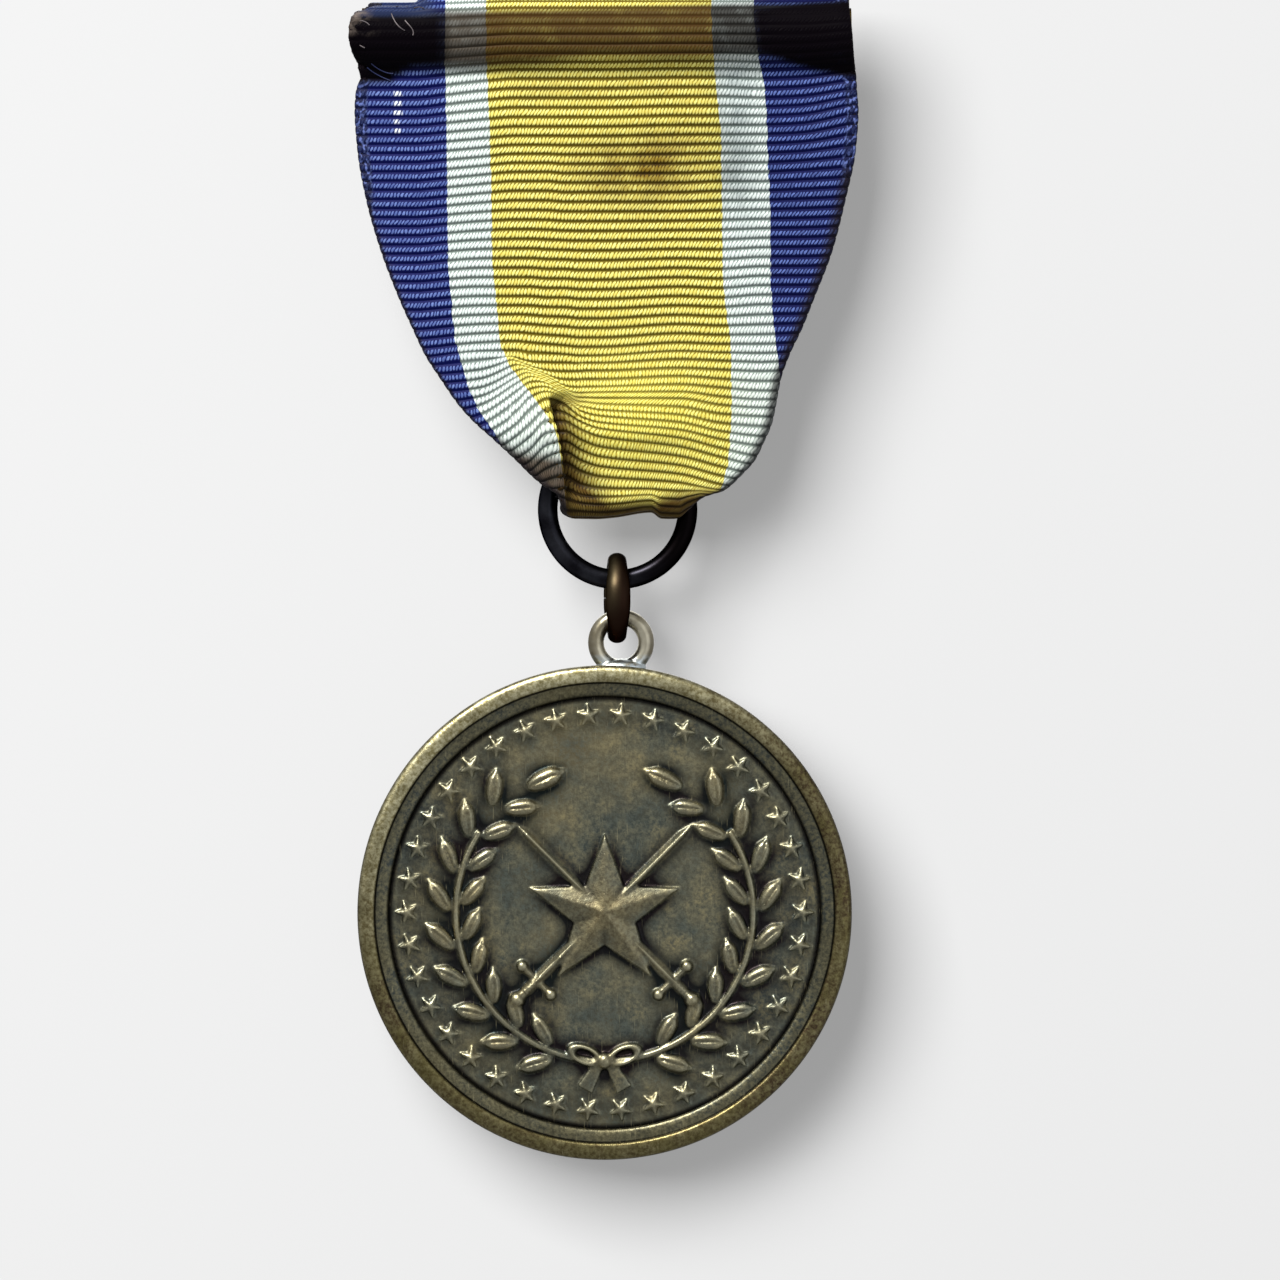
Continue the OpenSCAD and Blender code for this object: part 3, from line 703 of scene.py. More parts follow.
right_end = (step(X, 10.0, 10.5) * step(Z, -right_low - 0.35, -right_low + 0.2)
             * step(-Z, -right_top - 0.3, -right_top + 0.1))
masks = {
    "soil_and_shade": soil_and_shade,
    "ends": np.where(on_wrap, np.maximum(left_end, right_end), 0),
    "faded": step(-X, 11.3, 12.6) * step(Z, 0.8, 1.3) * on_wrap,
    "fuzz": step(-X, 16.0, 16.9) * step(Z, -0.4, 0.4) * on_wrap,
}

# %% Front masks: the brown stain with painted shadow under the bar, painted light low on the yellow, the greyer white
in_front = Y < -3
stain_and_shadow = 0.95 * hill(X, 2.4, 4.6) * hill(Z, -9.4, 2.5) + 0.35 * hill(X, 2.7, 1.1) * hill(Z, -9.2, 0.7)
# Painted shadow: the band just under the bar, across the middle of the front, is darkened with the stain's
# brown.
stain_and_shadow += (0.35 * hill(Z, -3.8, 1.2) * step(X, -8.2, -5) * step(-X, -9.5, -5)
          + 0.3 * hill(X, 5.4, 2.4) * hill(Z, -6.8, 1.6))
masks["stain_and_shadow"] = np.where(in_front, stain_and_shadow, 0)
# Painted light: the yellow low down, which faces the light, gets weaker gaps between its ribs and a warmer
# tint.
masks["lit_low_yellow"] = hill(X, 3.0, 6.5) * hill(Z, -26.5, 4.6) * in_front
masks["grey"] = hill(X, 8.9, 1.6) * step(-Z, 1.5, 3.0) * step(Z, -15.5, -9.0) * in_front

# %% Masks of the folds: painted shade below, in the valley and on side edges turned behind, ribs drawn together
low_from = smooth(X, [-6, -4, -3, -1.5, 0.5, 3.2, 4.0, 7.0], [28.4, 28.7, 29.0, 30.5, 31.9, 31.9, 31.5, 31.0])
bottom = step(-Z, low_from, low_from + 1.2) * (S < TAIL_S)
du = band["u"].ravel() - run(RIDGE_U, S)
widen = step(-Z, 29.2, 32.0)
in_valley = step(du, 0.1, 0.4) * step(-du, -5.4 - 1.6 * widen, -2.6 - 0.8 * widen)
valley = in_valley * step(-Z, 24.7, 25.8) * in_front
to_left = (band["x"] - band["x"].min(axis=1, keepdims=True)).ravel()
to_right = (band["x"].max(axis=1, keepdims=True) - band["x"]).ravel()
low_border = step(-to_left, -0.75, -0.3) * step(-Z, 26.8, 28.4)
left_border = step(-to_left, -0.4, -0.12) * step(-Z, 9.0, 12.0)
right_border = step(-to_right, -0.75, -0.3) * step(-Z, 8.6, 10.0)
border = np.maximum(np.maximum(low_border, left_border), right_border)
masks["shade"] = np.maximum(bottom, valley)
# Painted shade: the side edges turned behind and the flaps behind them are darkened, brownish as soil.
masks["turned"] = np.maximum(BEHIND, border * in_front)
masks["open"] = step(spread.ravel(), 0.12, 0.85)
for name, values in masks.items():
    layer = mesh.attributes.new(name, "FLOAT", "POINT")
    layer.data.foreach_set("value", np.clip(values, 0, 1).astype(np.float32))
print("masks:", ", ".join(masks))

# %% Give the cloth its thickness
CLOTH_DOUBLE = 0.7                      # thickness in millimetres where the band lies double
SINGLE_SHARE = 0.42                     # share of it where the band is single
thick = ribbon.vertex_groups.new(name="thick")
doubled = step(-S, -FRONT_S, -FRONT_S + 2.5) * (1 - BEHIND)
amount = (SINGLE_SHARE + (1 - SINGLE_SHARE) * doubled).round(2)
for value in np.unique(amount):
    thick.add(np.flatnonzero(amount == value).tolist(), float(value), "REPLACE")
modify(ribbon, "SOLIDIFY", thickness=CLOTH_DOUBLE * MM, offset=-1, use_even_offset=False,
       vertex_group="thick", thickness_vertex_group=0.0)
bpy.ops.object.shade_smooth()
print("ribbon triangles:", 2 * len(ribbon.data.polygons))
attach(ribbon, "hanger")
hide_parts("ribbon")

# %% [markdown]
# ## Frayed threads
#
# At the bar's worn left end the silk has frayed, and a few thread ends lie loose on the cloth.
# Each is a thin curve through three or four given places, laid on the band and turned
# into a mesh tube. A particle system would scatter them, and these lie where they lie.

# %% A few loose ends of thread on the bar's left end
FRAYED = [                              # places across and up, in millimetres
    [(-14.9, 1.35), (-14.75, 0.9), (-14.5, 0.4), (-13.95, 0.12)],
    [(-13.95, 0.85), (-13.65, 0.45), (-13.25, 0.2), (-13.4, -0.2)],
    [(-17.4, 0.7), (-17.05, 0.95), (-16.65, 0.8), (-16.4, 0.5)],
    [(-17.2, 1.45), (-16.95, 1.65), (-16.6, 1.45)],
    [(-17.35, -0.65), (-17.1, -0.9), (-16.75, -1.05)],
    [(-13.35, 1.75), (-13.0, 1.9), (-12.65, 1.7)],
    [(-14.6, 1.9), (-14.2, 1.75), (-13.8, 1.85)],
    [(-16.6, -2.35), (-16.1, -2.8), (-15.5, -3.05), (-15.0, -3.25)],
    [(-16.3, -2.1), (-15.8, -2.55), (-15.2, -2.8), (-14.8, -2.75)],
]
THREAD_R = 0.04
bar_front = np.flatnonzero(Y < -3.2)
strands = []
for i, route in enumerate(FRAYED):
    curve = bpy.data.curves.new(f"strand_{i}", "CURVE")
    curve.dimensions = "3D"
    curve.bevel_depth = THREAD_R
    curve.bevel_resolution = 2
    curve.resolution_u = 6
    curve.use_fill_caps = True
    line = curve.splines.new("NURBS")
    line.points.add(len(route) - 1)
    for point, (x, z) in zip(line.points, route):
        nearest = bar_front[np.argmin(np.hypot(X[bar_front] - x, Z[bar_front] - z))]
        point.co = (x, Y[nearest] - 1.5 * THREAD_R, z, 1)
    line.order_u = min(4, len(route))
    line.use_endpoint_u = True
    strand = bpy.data.objects.new(f"strand_{i}", curve)
    bpy.context.scene.collection.objects.link(strand)
    only(strand)
    bpy.ops.object.convert(target="MESH")
    strands.append(bpy.context.object)
threads = joined("frayed_threads", *strands)
to_metres(threads)
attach(threads, "hanger")

# %% [markdown]
# ## Ring and link
#
# Both are bent from round wire until the ends meet. A torus would have no joint, so a circle is
# spun almost all the way round and its two ends are slightly rounded: the ring's joint is up
# inside the fold, the link's faces back.

# %% Bend a wire ring
def bent_ring(name, radius, wire, gap, steps):
    """Round wire bent to a ring in the XZ plane, with its joint, `gap` degrees wide, at +X."""
    ring = new(bpy.ops.mesh.primitive_circle_add, name, vertices=28, radius=wire, fill_type="NGON",
               location=(radius, 0, 0))
    pick(ring, "FACE", everything)
    half = math.radians(gap / 2)
    bpy.ops.transform.rotate(value=half, orient_axis="Y", center_override=(0, 0, 0))
    bpy.ops.mesh.spin(steps=steps, angle=2 * math.pi - 2 * half, center=(0, 0, 0), axis=(0, 1, 0))
    bpy.ops.mesh.select_all(action="SELECT")
    bpy.ops.mesh.remove_doubles(threshold=1e-4)
    face_outward()
    return ring


ring = bent_ring("medal_ring", RING[2], RING[3], gap=0.7, steps=150)
print("ring ends:", [round(v, 2) for v in ring.dimensions])

# %% Round the wire's ends, and hang the ring in the fold
CUT_ROUNDING = 0.06


def hang(ring, turn_y, turn_z, place):
    """Rounds the cut ends of the wire, then turns and moves the ring to its place."""
    modify(ring, "BEVEL", width=CUT_ROUNDING, segments=2, limit_method="ANGLE", angle_limit=math.radians(60))
    placed(ring, Matrix.Translation(place) @ rotation(turn_z) @ rotation(turn_y, "Y"))
    to_metres(ring)


hang(ring, -70, 0, (RING[0], HANG_Y, RING[1]))
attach(ring, "ring")
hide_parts("ring")

# %% [markdown]
# The link is seen edge on. Its wire was hammered flat, so from the front it is a broad band,
# widest at half height. It is bent round like the ring, then spread sideways in steps: all of
# it first, then its middle more and its two ends less, with Blender's soft falloff.

# %% Link of flattened wire
LINK_SPREAD, MIDDLE_SPREAD, END_SPREAD = 1.5, 1.08, 0.82
SOFT = {"use_proportional_edit": True, "proportional_edit_falloff": "SMOOTH", "proportional_size": 2.4}
link = bent_ring("medal_link", LINK[2], LINK[3], gap=0.3, steps=110)
pick(link, "VERT", everything)
bpy.ops.transform.resize(value=(1, LINK_SPREAD, 1), center_override=(0, 0, 0))
pick(link, "VERT", lambda middle, facing: abs(middle.z) < 0.3)
bpy.ops.transform.resize(value=(1, MIDDLE_SPREAD, 1), center_override=(0, 0, 0), **SOFT)
pick(link, "VERT", lambda middle, facing: abs(middle.z) > LINK[2])
bpy.ops.transform.resize(value=(1, END_SPREAD, 1), center_override=(0, 0, 0), **SOFT)
hang(link, 0, 92, (LINK[0], HANG_Y, LINK[1]))
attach(link, "link")
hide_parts("link")
print("link is", round(link.dimensions.x / MM, 2), "mm wide")

# %% [markdown]
# ## The medal's blank
#
# The blank is what a lathe would leave: a rim, a step inside it, the flat field and a plain
# back. One outline is walked out corner by corner and spun round the middle. It is modelled
# lying down, facing up, and is stood up when it is finished.

# %% Walk an outline and spin it
def lathe(name, outline, steps):
    """Spins an outline of (radius, height) corners round the Z axis to a closed shape."""
    shape = new(bpy.ops.mesh.primitive_plane_add, name, size=0.1, location=(outline[0][0], 0, outline[0][1]))
    pick(shape, "VERT", everything)
    bpy.ops.mesh.merge(type="CENTER")
    for (r_0, z_0), (r_1, z_1) in zip(outline, outline[1:]):
        bpy.ops.mesh.extrude_region_move(TRANSFORM_OT_translate={"value": (r_1 - r_0, 0, z_1 - z_0)})
    bpy.ops.mesh.select_all(action="SELECT")
    bpy.ops.mesh.spin(steps=steps, angle=2 * math.pi, center=(0, 0, 0), axis=(0, 0, 1))
    bpy.ops.mesh.select_all(action="SELECT")
    bpy.ops.mesh.remove_doubles(threshold=1e-4)
    face_outward()
    return shape


R = DISC[2]
FIELD = 0.65                            # height of the field; the rims are at +1.5 and -1.5
BLANK = [                               # radius and height, from the middle of the face to that of the back
    (0, FIELD - 0.12), (15.0, FIELD - 0.12), (15.03, FIELD + 0.1), (15.08, 0.94), (15.16, 1.01), (15.3, 1.06),
    (15.62, 1.11), (15.85, 1.12), (15.94, 1.13), (15.99, 1.2), (16.03, 1.38), (16.09, 1.45), (16.2, 1.495),
    (16.45, 1.5), (16.75, 1.485), (16.93, 1.44), (17.05, 1.36), (17.14, 1.24), (17.19, 1.08), (R, 0.9),
    (R, -1.15), (17.14, -1.33), (17.02, -1.44), (16.85, -1.495), (15.7, -1.5), (15.58, -1.47), (15.5, -1.38),
    (15.42, -1.24), (15.3, -1.15), (14.9, -1.02), (14.6, -1.0), (0, -1.0),
]
blank = lathe("blank", BLANK, 240)
print("blank faces:", len(blank.data.polygons))

# %% [markdown]
# ## The raised work
#
# On the real award a die presses the emblem into the blank, so it grows out of the field with
# soft roots and no seam. The motifs are first modelled one by one: a star with five ridges,
# two swords, laurel leaves on curved stems and a bow. They are copied into place, stood on a
# plate and fused by a voxel remesh, which also gives the soft roots.

# %% A star with a ridge to every point
ROOT = 0.2                              # motifs begin this far below the field


def odd_corner(middle, facing):
    """The test that picks every second one of ten corners."""
    return round(math.degrees(math.atan2(middle.x, middle.y)) / 36) % 2 == 1


def star(name, outer, inner, edge, top, place=(0, 0), turn_deg=0.0):
    """Five-pointed star: a circle of ten corners, every second one pulled in, walls and one top point."""
    shape = new(bpy.ops.mesh.primitive_circle_add, name, vertices=10, radius=outer, fill_type="NGON",
                location=(0, 0, FIELD - ROOT))
    pick(shape, "VERT", odd_corner)
    bpy.ops.transform.resize(value=(inner / outer, inner / outer, 1), center_override=(0, 0, 0))
    bpy.ops.mesh.select_mode(type="FACE")
    bpy.ops.mesh.select_all(action="SELECT")
    bpy.ops.mesh.extrude_region_move(TRANSFORM_OT_translate={"value": (0, 0, ROOT + edge)})
    bpy.ops.mesh.poke(offset=top - edge)
    face_outward()
    return placed(shape, Matrix.Translation((*place, 0)) @ rotation(turn_deg))


motifs = [star("great_star", outer=5.4, inner=2.27, edge=0.22, top=0.8)]
STARS, STARS_R = 38, 13.75
for i in range(STARS):
    angle = 2 * math.pi * (i + 0.5) / STARS
    motifs.append(star(f"border_star_{i}", 0.78, 0.34, 0.16, 0.36,
                       (-STARS_R * math.sin(angle), STARS_R * math.cos(angle)), math.degrees(angle)))
print("stars:", len(motifs))

# %% A straight sword: blade with a ridge, guard with knobs, wound grip and pommel
HILT, SWORD_LENGTH = 2.0, 17.2


def blade(name, length, top):
    """A four-sided bar, its ridge `top` high: the far end is narrowed, then drawn out to a point."""
    piece = new(bpy.ops.mesh.primitive_cylinder_add, name, vertices=4, radius=0.5, depth=length - HILT,
                rotation=QUARTER_X, location=(0, HILT + (length - HILT) / 2, 0))
    piece.scale = (1, 1, top / 0.5)
    bpy.ops.object.transform_apply(scale=True)
    pick(piece, "VERT", lambda middle, facing: middle.y > length - 0.2)
    bpy.ops.transform.resize(value=(0.75, 1, 0.9), center_override=(0, length, 0))
    bpy.ops.mesh.select_mode(type="FACE")
    bpy.ops.mesh.extrude_region_move(TRANSFORM_OT_translate={"value": (0, 1.2, 0)})
    bpy.ops.transform.resize(value=(0.05, 1, 0.2), center_override=(0, length + 1, 0))
    bpy.ops.mesh.select_all(action="SELECT")
    bpy.ops.transform.translate(value=(0, -1.0, 0))
    bpy.ops.object.mode_set(mode="OBJECT")
    return piece


def sword(name, length, top):
    """Sword along +Y from its pommel at the origin, made of a few turned and pulled parts."""
    parts = [blade(f"{name}_blade", length, top),
             new(bpy.ops.mesh.primitive_cylinder_add, f"{name}_grip", vertices=16, radius=0.27, depth=1.7,
                 rotation=QUARTER_X, location=(0, 1.05, 0.05))]
    for k in range(5):
        parts.append(new(bpy.ops.mesh.primitive_torus_add, f"{name}_wire_{k}", major_radius=0.27,
                         minor_radius=0.09, major_segments=20, minor_segments=8, rotation=QUARTER_X,
                         location=(0, 0.55 + 0.27 * k, 0.05)))
    for where, size in (((0, 0, 0.05), 0.55), ((-1.4, 1.9, 0.02), 0.42), ((1.4, 1.9, 0.02), 0.42)):
        parts.append(new(bpy.ops.mesh.primitive_uv_sphere_add, f"{name}_knob", segments=20, ring_count=12,
                         radius=size, location=where))
    parts.append(new(bpy.ops.mesh.primitive_cylinder_add, f"{name}_guard", vertices=16, radius=0.25,
                     depth=2.8, rotation=QUARTER_Y, location=(0, 1.9, 0.02)))
    return joined(name, *parts)


for turn_deg, top in ((45, 0.42), (-45, 0.46)):
    one = sword(f"sword_{turn_deg}", SWORD_LENGTH, top)
    on_field = Matrix.Translation((0, 0, FIELD))
    motifs.append(placed(one, on_field @ rotation(turn_deg) @ Matrix.Translation((0, -SWORD_LENGTH / 2, 0))))
print("sword size:", [round(v, 2) for v in one.dimensions])

# %% A laurel leaf with a sunk midrib
def leaf(name, length, width, height):
    """Leaf along +Y: a ball drawn out, pinched to a point, with a groove along its middle."""
    shape = new(bpy.ops.mesh.primitive_uv_sphere_add, name, segments=24, ring_count=14, radius=0.5,
                rotation=QUARTER_X)
    shape.scale = (width, length, 2 * height)
    bpy.ops.object.transform_apply(scale=True)
    for share, pinch in ((0.22, 0.8), (0.34, 0.66)):
        pick(shape, "VERT", lambda middle, facing: middle.y > share * length)
        bpy.ops.transform.resize(value=(pinch, 1, 0.92), center_override=(0, 0, 0))
    pick(shape, "VERT", lambda at, facing: abs(at.x) < 0.06 and abs(at.y) < 0.4 * length and at.z > 0)
    bpy.ops.transform.translate(value=(0, 0, -0.16))
    bpy.ops.object.mode_set(mode="OBJECT")
    return placed(shape, Matrix.Translation((0, length / 2, 0)))


pattern_leaf = leaf("leaf", length=2.7, width=1.2, height=0.42)
print("leaf size:", [round(v, 2) for v in pattern_leaf.dimensions])

# %% Leaves in pairs along two curved stems
WREATH_R, WREATH_START, WREATH_END, LEAF_PAIRS = 10.35, -70, 58, 9
STEM_START, STEM_SPIN = -79, WREATH_END + 76    # in degrees, as the wreath's start and end
pitch = (WREATH_END - WREATH_START) / LEAF_PAIRS
places = []                             # place along the stem, offsets outward and along, lean, size
for i in range(LEAF_PAIRS):
    places.append((WREATH_START + pitch * i, 0.42, -0.1, -36, 1.0))
    places.append((WREATH_START + pitch * i, -0.4, 0.35, 40, 0.94))
places.append((WREATH_END, -0.1, 0.0, 8, 1.1))
for mirror in (1, -1):
    mirrored = Matrix.Diagonal((mirror, 1, 1, 1))
    for i, (around, off_x, off_y, lean, size) in enumerate(places):
        at = (mirrored @ Matrix.Translation((0, 0, FIELD + 0.02)) @ rotation(around)
              @ Matrix.Translation((WREATH_R + off_x, off_y, 0)) @ rotation(lean) @ Matrix.Scale(size, 4))
        twin = pattern_leaf.copy()
        twin.data = pattern_leaf.data.copy()
        twin.name = f"leaf_{mirror}_{i}"
        bpy.context.scene.collection.objects.link(twin)
        motifs.append(placed(twin, at))
    stem = new(bpy.ops.mesh.primitive_circle_add, f"stem_{mirror}", vertices=12, radius=0.24,
               fill_type="NGON", rotation=QUARTER_X, location=(WREATH_R, 0, 0))
    pick(stem, "FACE", everything)
    bpy.ops.mesh.spin(steps=60, angle=math.radians(STEM_SPIN), center=(0, 0, 0), axis=(0, 0, 1))
    face_outward()
    motifs.append(placed(stem, mirrored @ Matrix.Translation((0, 0, FIELD + 0.04)) @ rotation(STEM_START)))
bpy.data.objects.remove(pattern_leaf)
print("motifs so far:", len(motifs))

# %% A bow that ties the two stems
def bow():
    """Two loops, two tails and a knot."""
    parts = []
    for side_x in (-1, 1):
        loop = new(bpy.ops.mesh.primitive_torus_add, "bow_loop", major_radius=0.85, minor_radius=0.3,
                   major_segments=28, minor_segments=12)
        parts.append(placed(loop, Matrix.Translation((side_x * 1.35, 0.42, 0))
                            @ Matrix.Rotation(side_x * 0.4, 4, "Z") @ Matrix.Diagonal((1.2, 0.62, 1.3, 1))))
        tail = new(bpy.ops.mesh.primitive_cube_add, "bow_tail", size=1, location=(0, 0, 0))
        tail.scale = (0.62, 2.1, 0.5)
        bpy.ops.object.transform_apply(scale=True)
        pick(tail, "FACE", lambda middle, facing: facing.y < -0.9)
        bpy.ops.transform.resize(value=(1.7, 1, 0.8), center_override=(0, -1.05, 0))
        bpy.ops.mesh.select_all(action="SELECT")
        bpy.ops.mesh.subdivide(number_cuts=2)
        bpy.ops.object.mode_set(mode="OBJECT")
        parts.append(placed(tail, Matrix.Translation((side_x * 0.85, -1.0, -0.02))
                            @ Matrix.Rotation(side_x * 0.5, 4, "Z")))
    parts.append(new(bpy.ops.mesh.primitive_uv_sphere_add, "bow_knot", segments=20, ring_count=12,
                     radius=0.6))
    return placed(joined("bow", *parts), Matrix.Translation((0, -WREATH_R, FIELD)))


motifs.append(bow())
print("bow size:", [round(v, 2) for v in motifs[-1].dimensions])

# %% Fuse the motifs with a plate, and keep only what shows above the blank
VOXEL = 0.1
PLATE_T = 0.9
plate = new(bpy.ops.mesh.primitive_cylinder_add, "plate", vertices=160, radius=15.06, depth=PLATE_T,
            location=(0, 0, FIELD - PLATE_T / 2))
relief = joined("relief", plate, *motifs)
modify(relief, "REMESH", mode="VOXEL", voxel_size=VOXEL, adaptivity=0.0)
modify(relief, "SMOOTH", factor=0.5, iterations=2)
pick(relief, "FACE", everything)
bpy.ops.mesh.bisect(plane_co=(0, 0, FIELD - 0.06), plane_no=(0, 0, 1), clear_inner=True, use_fill=True)
bpy.ops.object.mode_set(mode="OBJECT")
print("relief faces:", len(relief.data.polygons))

# %% [markdown]
# The patina needs to know what is raised and what is sunk. Each point of the relief is compared
# with the mean height of a wide square round it (its lift) and of a narrow one (its crest).

# %% Heights of the raised work, for the patina
CELL = 0.1                              # size of a grid square
WIDE, NARROW = 6, 2                     # reach of the two means, in grid squares
corner = np.zeros(len(relief.data.vertices) * 3, np.float32)
relief.data.vertices.foreach_get("co", corner)
corner = corner.reshape(-1, 3)
size = int(32 / CELL)
cell = np.clip(((corner[:, :2] + 16) / CELL).astype(int), 0, size - 1)
ground = np.full((size, size), FIELD)
np.maximum.at(ground, (cell[:, 0], cell[:, 1]), corner[:, 2])


def blurred(grid, reach):
    """Mean of each cell's square neighbourhood, twice, which is close to a round blur."""
    for _ in range(2):
        for axis in (0, 1):
            before = np.repeat(np.take(grid, [0], axis), reach + 1, axis)
            after = np.repeat(np.take(grid, [-1], axis), reach, axis)
            total = np.cumsum(np.concatenate([before, grid, after], axis), axis)
            high = np.take(total, np.arange(2 * reach + 1, total.shape[axis]), axis)
            low = np.take(total, np.arange(0, total.shape[axis] - 2 * reach - 1), axis)
            grid = (high - low) / (2 * reach + 1)
    return grid


def above_mean(reach):
    """How far each corner of the relief lies above the mean height round it."""
    return corner[:, 2] - blurred(ground, reach)[cell[:, 0], cell[:, 1]]


# Each height is divided by about the largest that matters, so that the finish can work with shares.
lift = above_mean(WIDE)
HEIGHTS = {"height": (corner[:, 2] - FIELD) / 0.8, "lift": lift / 0.3, "crest": above_mean(NARROW) / 0.12}
for name, values in HEIGHTS.items():
    layer = relief.data.attributes.new(name, "FLOAT", "POINT")
    layer.data.foreach_set("value", values.astype(np.float32))
print("lift from", lift.min().round(2), "to", lift.max().round(2))

# %% Join blank and relief, stand the disc up and bring it to metres
medal = joined("medal_disc", blank, relief)
placed(medal, Matrix.Translation((DISC[0], HANG_Y, DISC[1])) @ rotation(90, "X"))
to_metres(medal)
only(medal)
bpy.ops.object.shade_smooth_by_angle(angle=math.radians(40))
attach(medal, "pendant")
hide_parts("medal")

# %% [markdown]
# ## The eye
#
# The eye is a wire ring soldered to the disc's top edge. The solder runs up both sides and
# leaves a soft throat. A torus and a flattened ball are fused by a voxel remesh, which rounds
# the throat as solder does.

# %% Eye with its solder
loop = new(bpy.ops.mesh.primitive_torus_add, "eye_loop", major_radius=EYE[2], minor_radius=EYE[3],
           major_segments=96, minor_segments=28, rotation=QUARTER_X, location=(EYE[0], HANG_Y, EYE[1]))
solder = new(bpy.ops.mesh.primitive_uv_sphere_add, "solder", segments=40, ring_count=24, radius=1)
solder.scale = (1.75, 0.95, 0.62)
solder.location = (EYE[0], HANG_Y, EYE[1] - 1.75)
only(solder)
eye = joined("medal_eye", loop, made("solder"))
modify(eye, "REMESH", mode="VOXEL", voxel_size=0.07, adaptivity=0.0)
modify(eye, "SMOOTH", factor=0.5, iterations=6)
to_metres(eye)
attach(eye, "pendant")

# %% [markdown]
# ## Materials
#
# One function turns hex colours to Blender's linear ones, and one adds a node with its settings
# and links. Four short ones name the nodes that come back all the time. Everything else is
# written out, so that each finish can be read from top to bottom.

# %% Colours and nodes
def linear(code):
    """Linear colour of an sRGB hex code."""
    shares = [int(code[i:i + 2], 16) / 255 for i in (1, 3, 5)]
    return [c / 12.92 if c <= 0.04045 else ((c + 0.055) / 1.055) ** 2.4 for c in shares] + [1.0]


def finish_named(name):
    """A new material with its node tree and its shader."""
    finish = bpy.data.materials.new(name)
    finish.use_nodes = True
    return finish, finish.node_tree, finish.node_tree.nodes["Principled BSDF"]


def add(kind, *values, named=None, **settings):
    """Adds a node to the tree in hand. Values go to its inputs in order, or by name; nodes are linked."""
    node = tree.nodes.new("ShaderNode" + kind)
    for setting, value in settings.items():
        setattr(node, setting, value)
    sockets = [socket for socket in node.inputs if socket.enabled]
    given = list(zip(sockets, values)) + [(node.inputs[name], value) for name, value in (named or {}).items()]
    for socket, value in given:
        if isinstance(value, bpy.types.Node):
            value = next(out for out in value.outputs if out.enabled)
        if isinstance(value, bpy.types.NodeSocket):
            tree.links.new(value, socket)
        else:
            socket.default_value = value
    return node


def calc(operation, *values):
    """A node that does one sum."""
    return add("Math", *values, operation=operation)


def span(value, start, end, low=0.0, high=1.0, **settings):
    """A node that turns start..end into low..high and holds both ends."""
    return add("MapRange", value, start, end, low, high, **settings)


def mix(share, first, second, way="MIX"):
    """A node that mixes two colours, given as hex codes or as nodes."""
    first, second = [linear(one) if isinstance(one, str) else one for one in (first, second)]
    return add("Mix", share, first, second, data_type="RGBA", blend_type=way)


def relief_of(height, strength, depth_mm):
    """A node that turns a grey pattern into small bumps."""
    return add("Bump", named={"Height": height, "Strength": strength, "Distance": depth_mm * MM})


def wear(piece, finish, colour, roughness, bump):
    """Plugs colour, roughness and bump into the shader and puts the finish on the piece."""
    for name, node in (("Base Color", colour), ("Roughness", roughness), ("Normal", bump)):
        if isinstance(node, float):
            shader.inputs[name].default_value = node
        else:
            tree.links.new(next(out for out in node.outputs if out.enabled), shader.inputs[name])
    if len(piece.material_slots) == 0:
        piece.data.materials.append(finish)
    for holder in piece.material_slots:
        holder.material = finish
    print(piece.name, "wears", finish.name)


# %% [markdown]
# ### Ribbed silk ribbon
#
# The band is a warp-faced grosgrain: fine glossy warp threads lie side by side and jump over
# thick weft cords, so each rib is a row of short slanted stitches, and between two ribs the
# threads dive into a gap. The stitches' brightness is a painted highlight and the gap's darkness
# painted shade, on top of the ribs' real relief. The real warp has about 54 threads to the
# centimetre, one every 0.185 mm. Here a stitch is 0.25 mm wide, a little coarser, so that it still shows.

# %% Weave coordinates: where on a rib, and where on a stitch
silk, tree, shader = finish_named("ribbed_silk_grosgrain")
STITCH = 0.25
cloth_uv = add("UVMap", uv_map="weave")
split = add("SeparateXYZ", cloth_uv)
across_mm = split.outputs["X"]
along_mm = split.outputs["Y"]
rib = calc("MULTIPLY", along_mm, 1 / PITCH)
rib_phase = calc("FRACT", rib)
rib_number = calc("FLOOR", rib)
from_crest = calc("ABSOLUTE", calc("SUBTRACT", rib_phase, 0.5))
wobble = add("TexNoise", cloth_uv, 1.1, 3.0)                       # threads wander a little
lean = span(across_mm, STRIPES[3] - 1, STRIPES[3] + 1, 0.3, 0.42)   # stitches slant, more on the right
slanted = calc("MULTIPLY_ADD", rib_phase, lean, across_mm)
row_luck = add("TexWhiteNoise", rib_number, noise_dimensions="1D")  # one random number for each rib
shifted = calc("MULTIPLY_ADD", row_luck, 0.12, slanted)
thread_at = calc("MULTIPLY_ADD", wobble, 0.5, shifted)
stitches = calc("MULTIPLY", thread_at, 1 / STITCH)
wave = calc("COSINE", calc("MULTIPLY", stitches, 2 * math.pi))
thread = span(wave, -0.95, 0.15)                                    # 1 on a stitch, 0 between two
stitch_id = add("CombineXYZ", calc("ROUND", stitches), rib_number)
luck = add("TexWhiteNoise", stitch_id, noise_dimensions="2D")       # one random number for each stitch
uneven_edge = calc("MULTIPLY_ADD", luck, 0.05, from_crest)
toothed = calc("MULTIPLY_ADD", thread, -0.2, uneven_edge)           # stitches reach into the gap
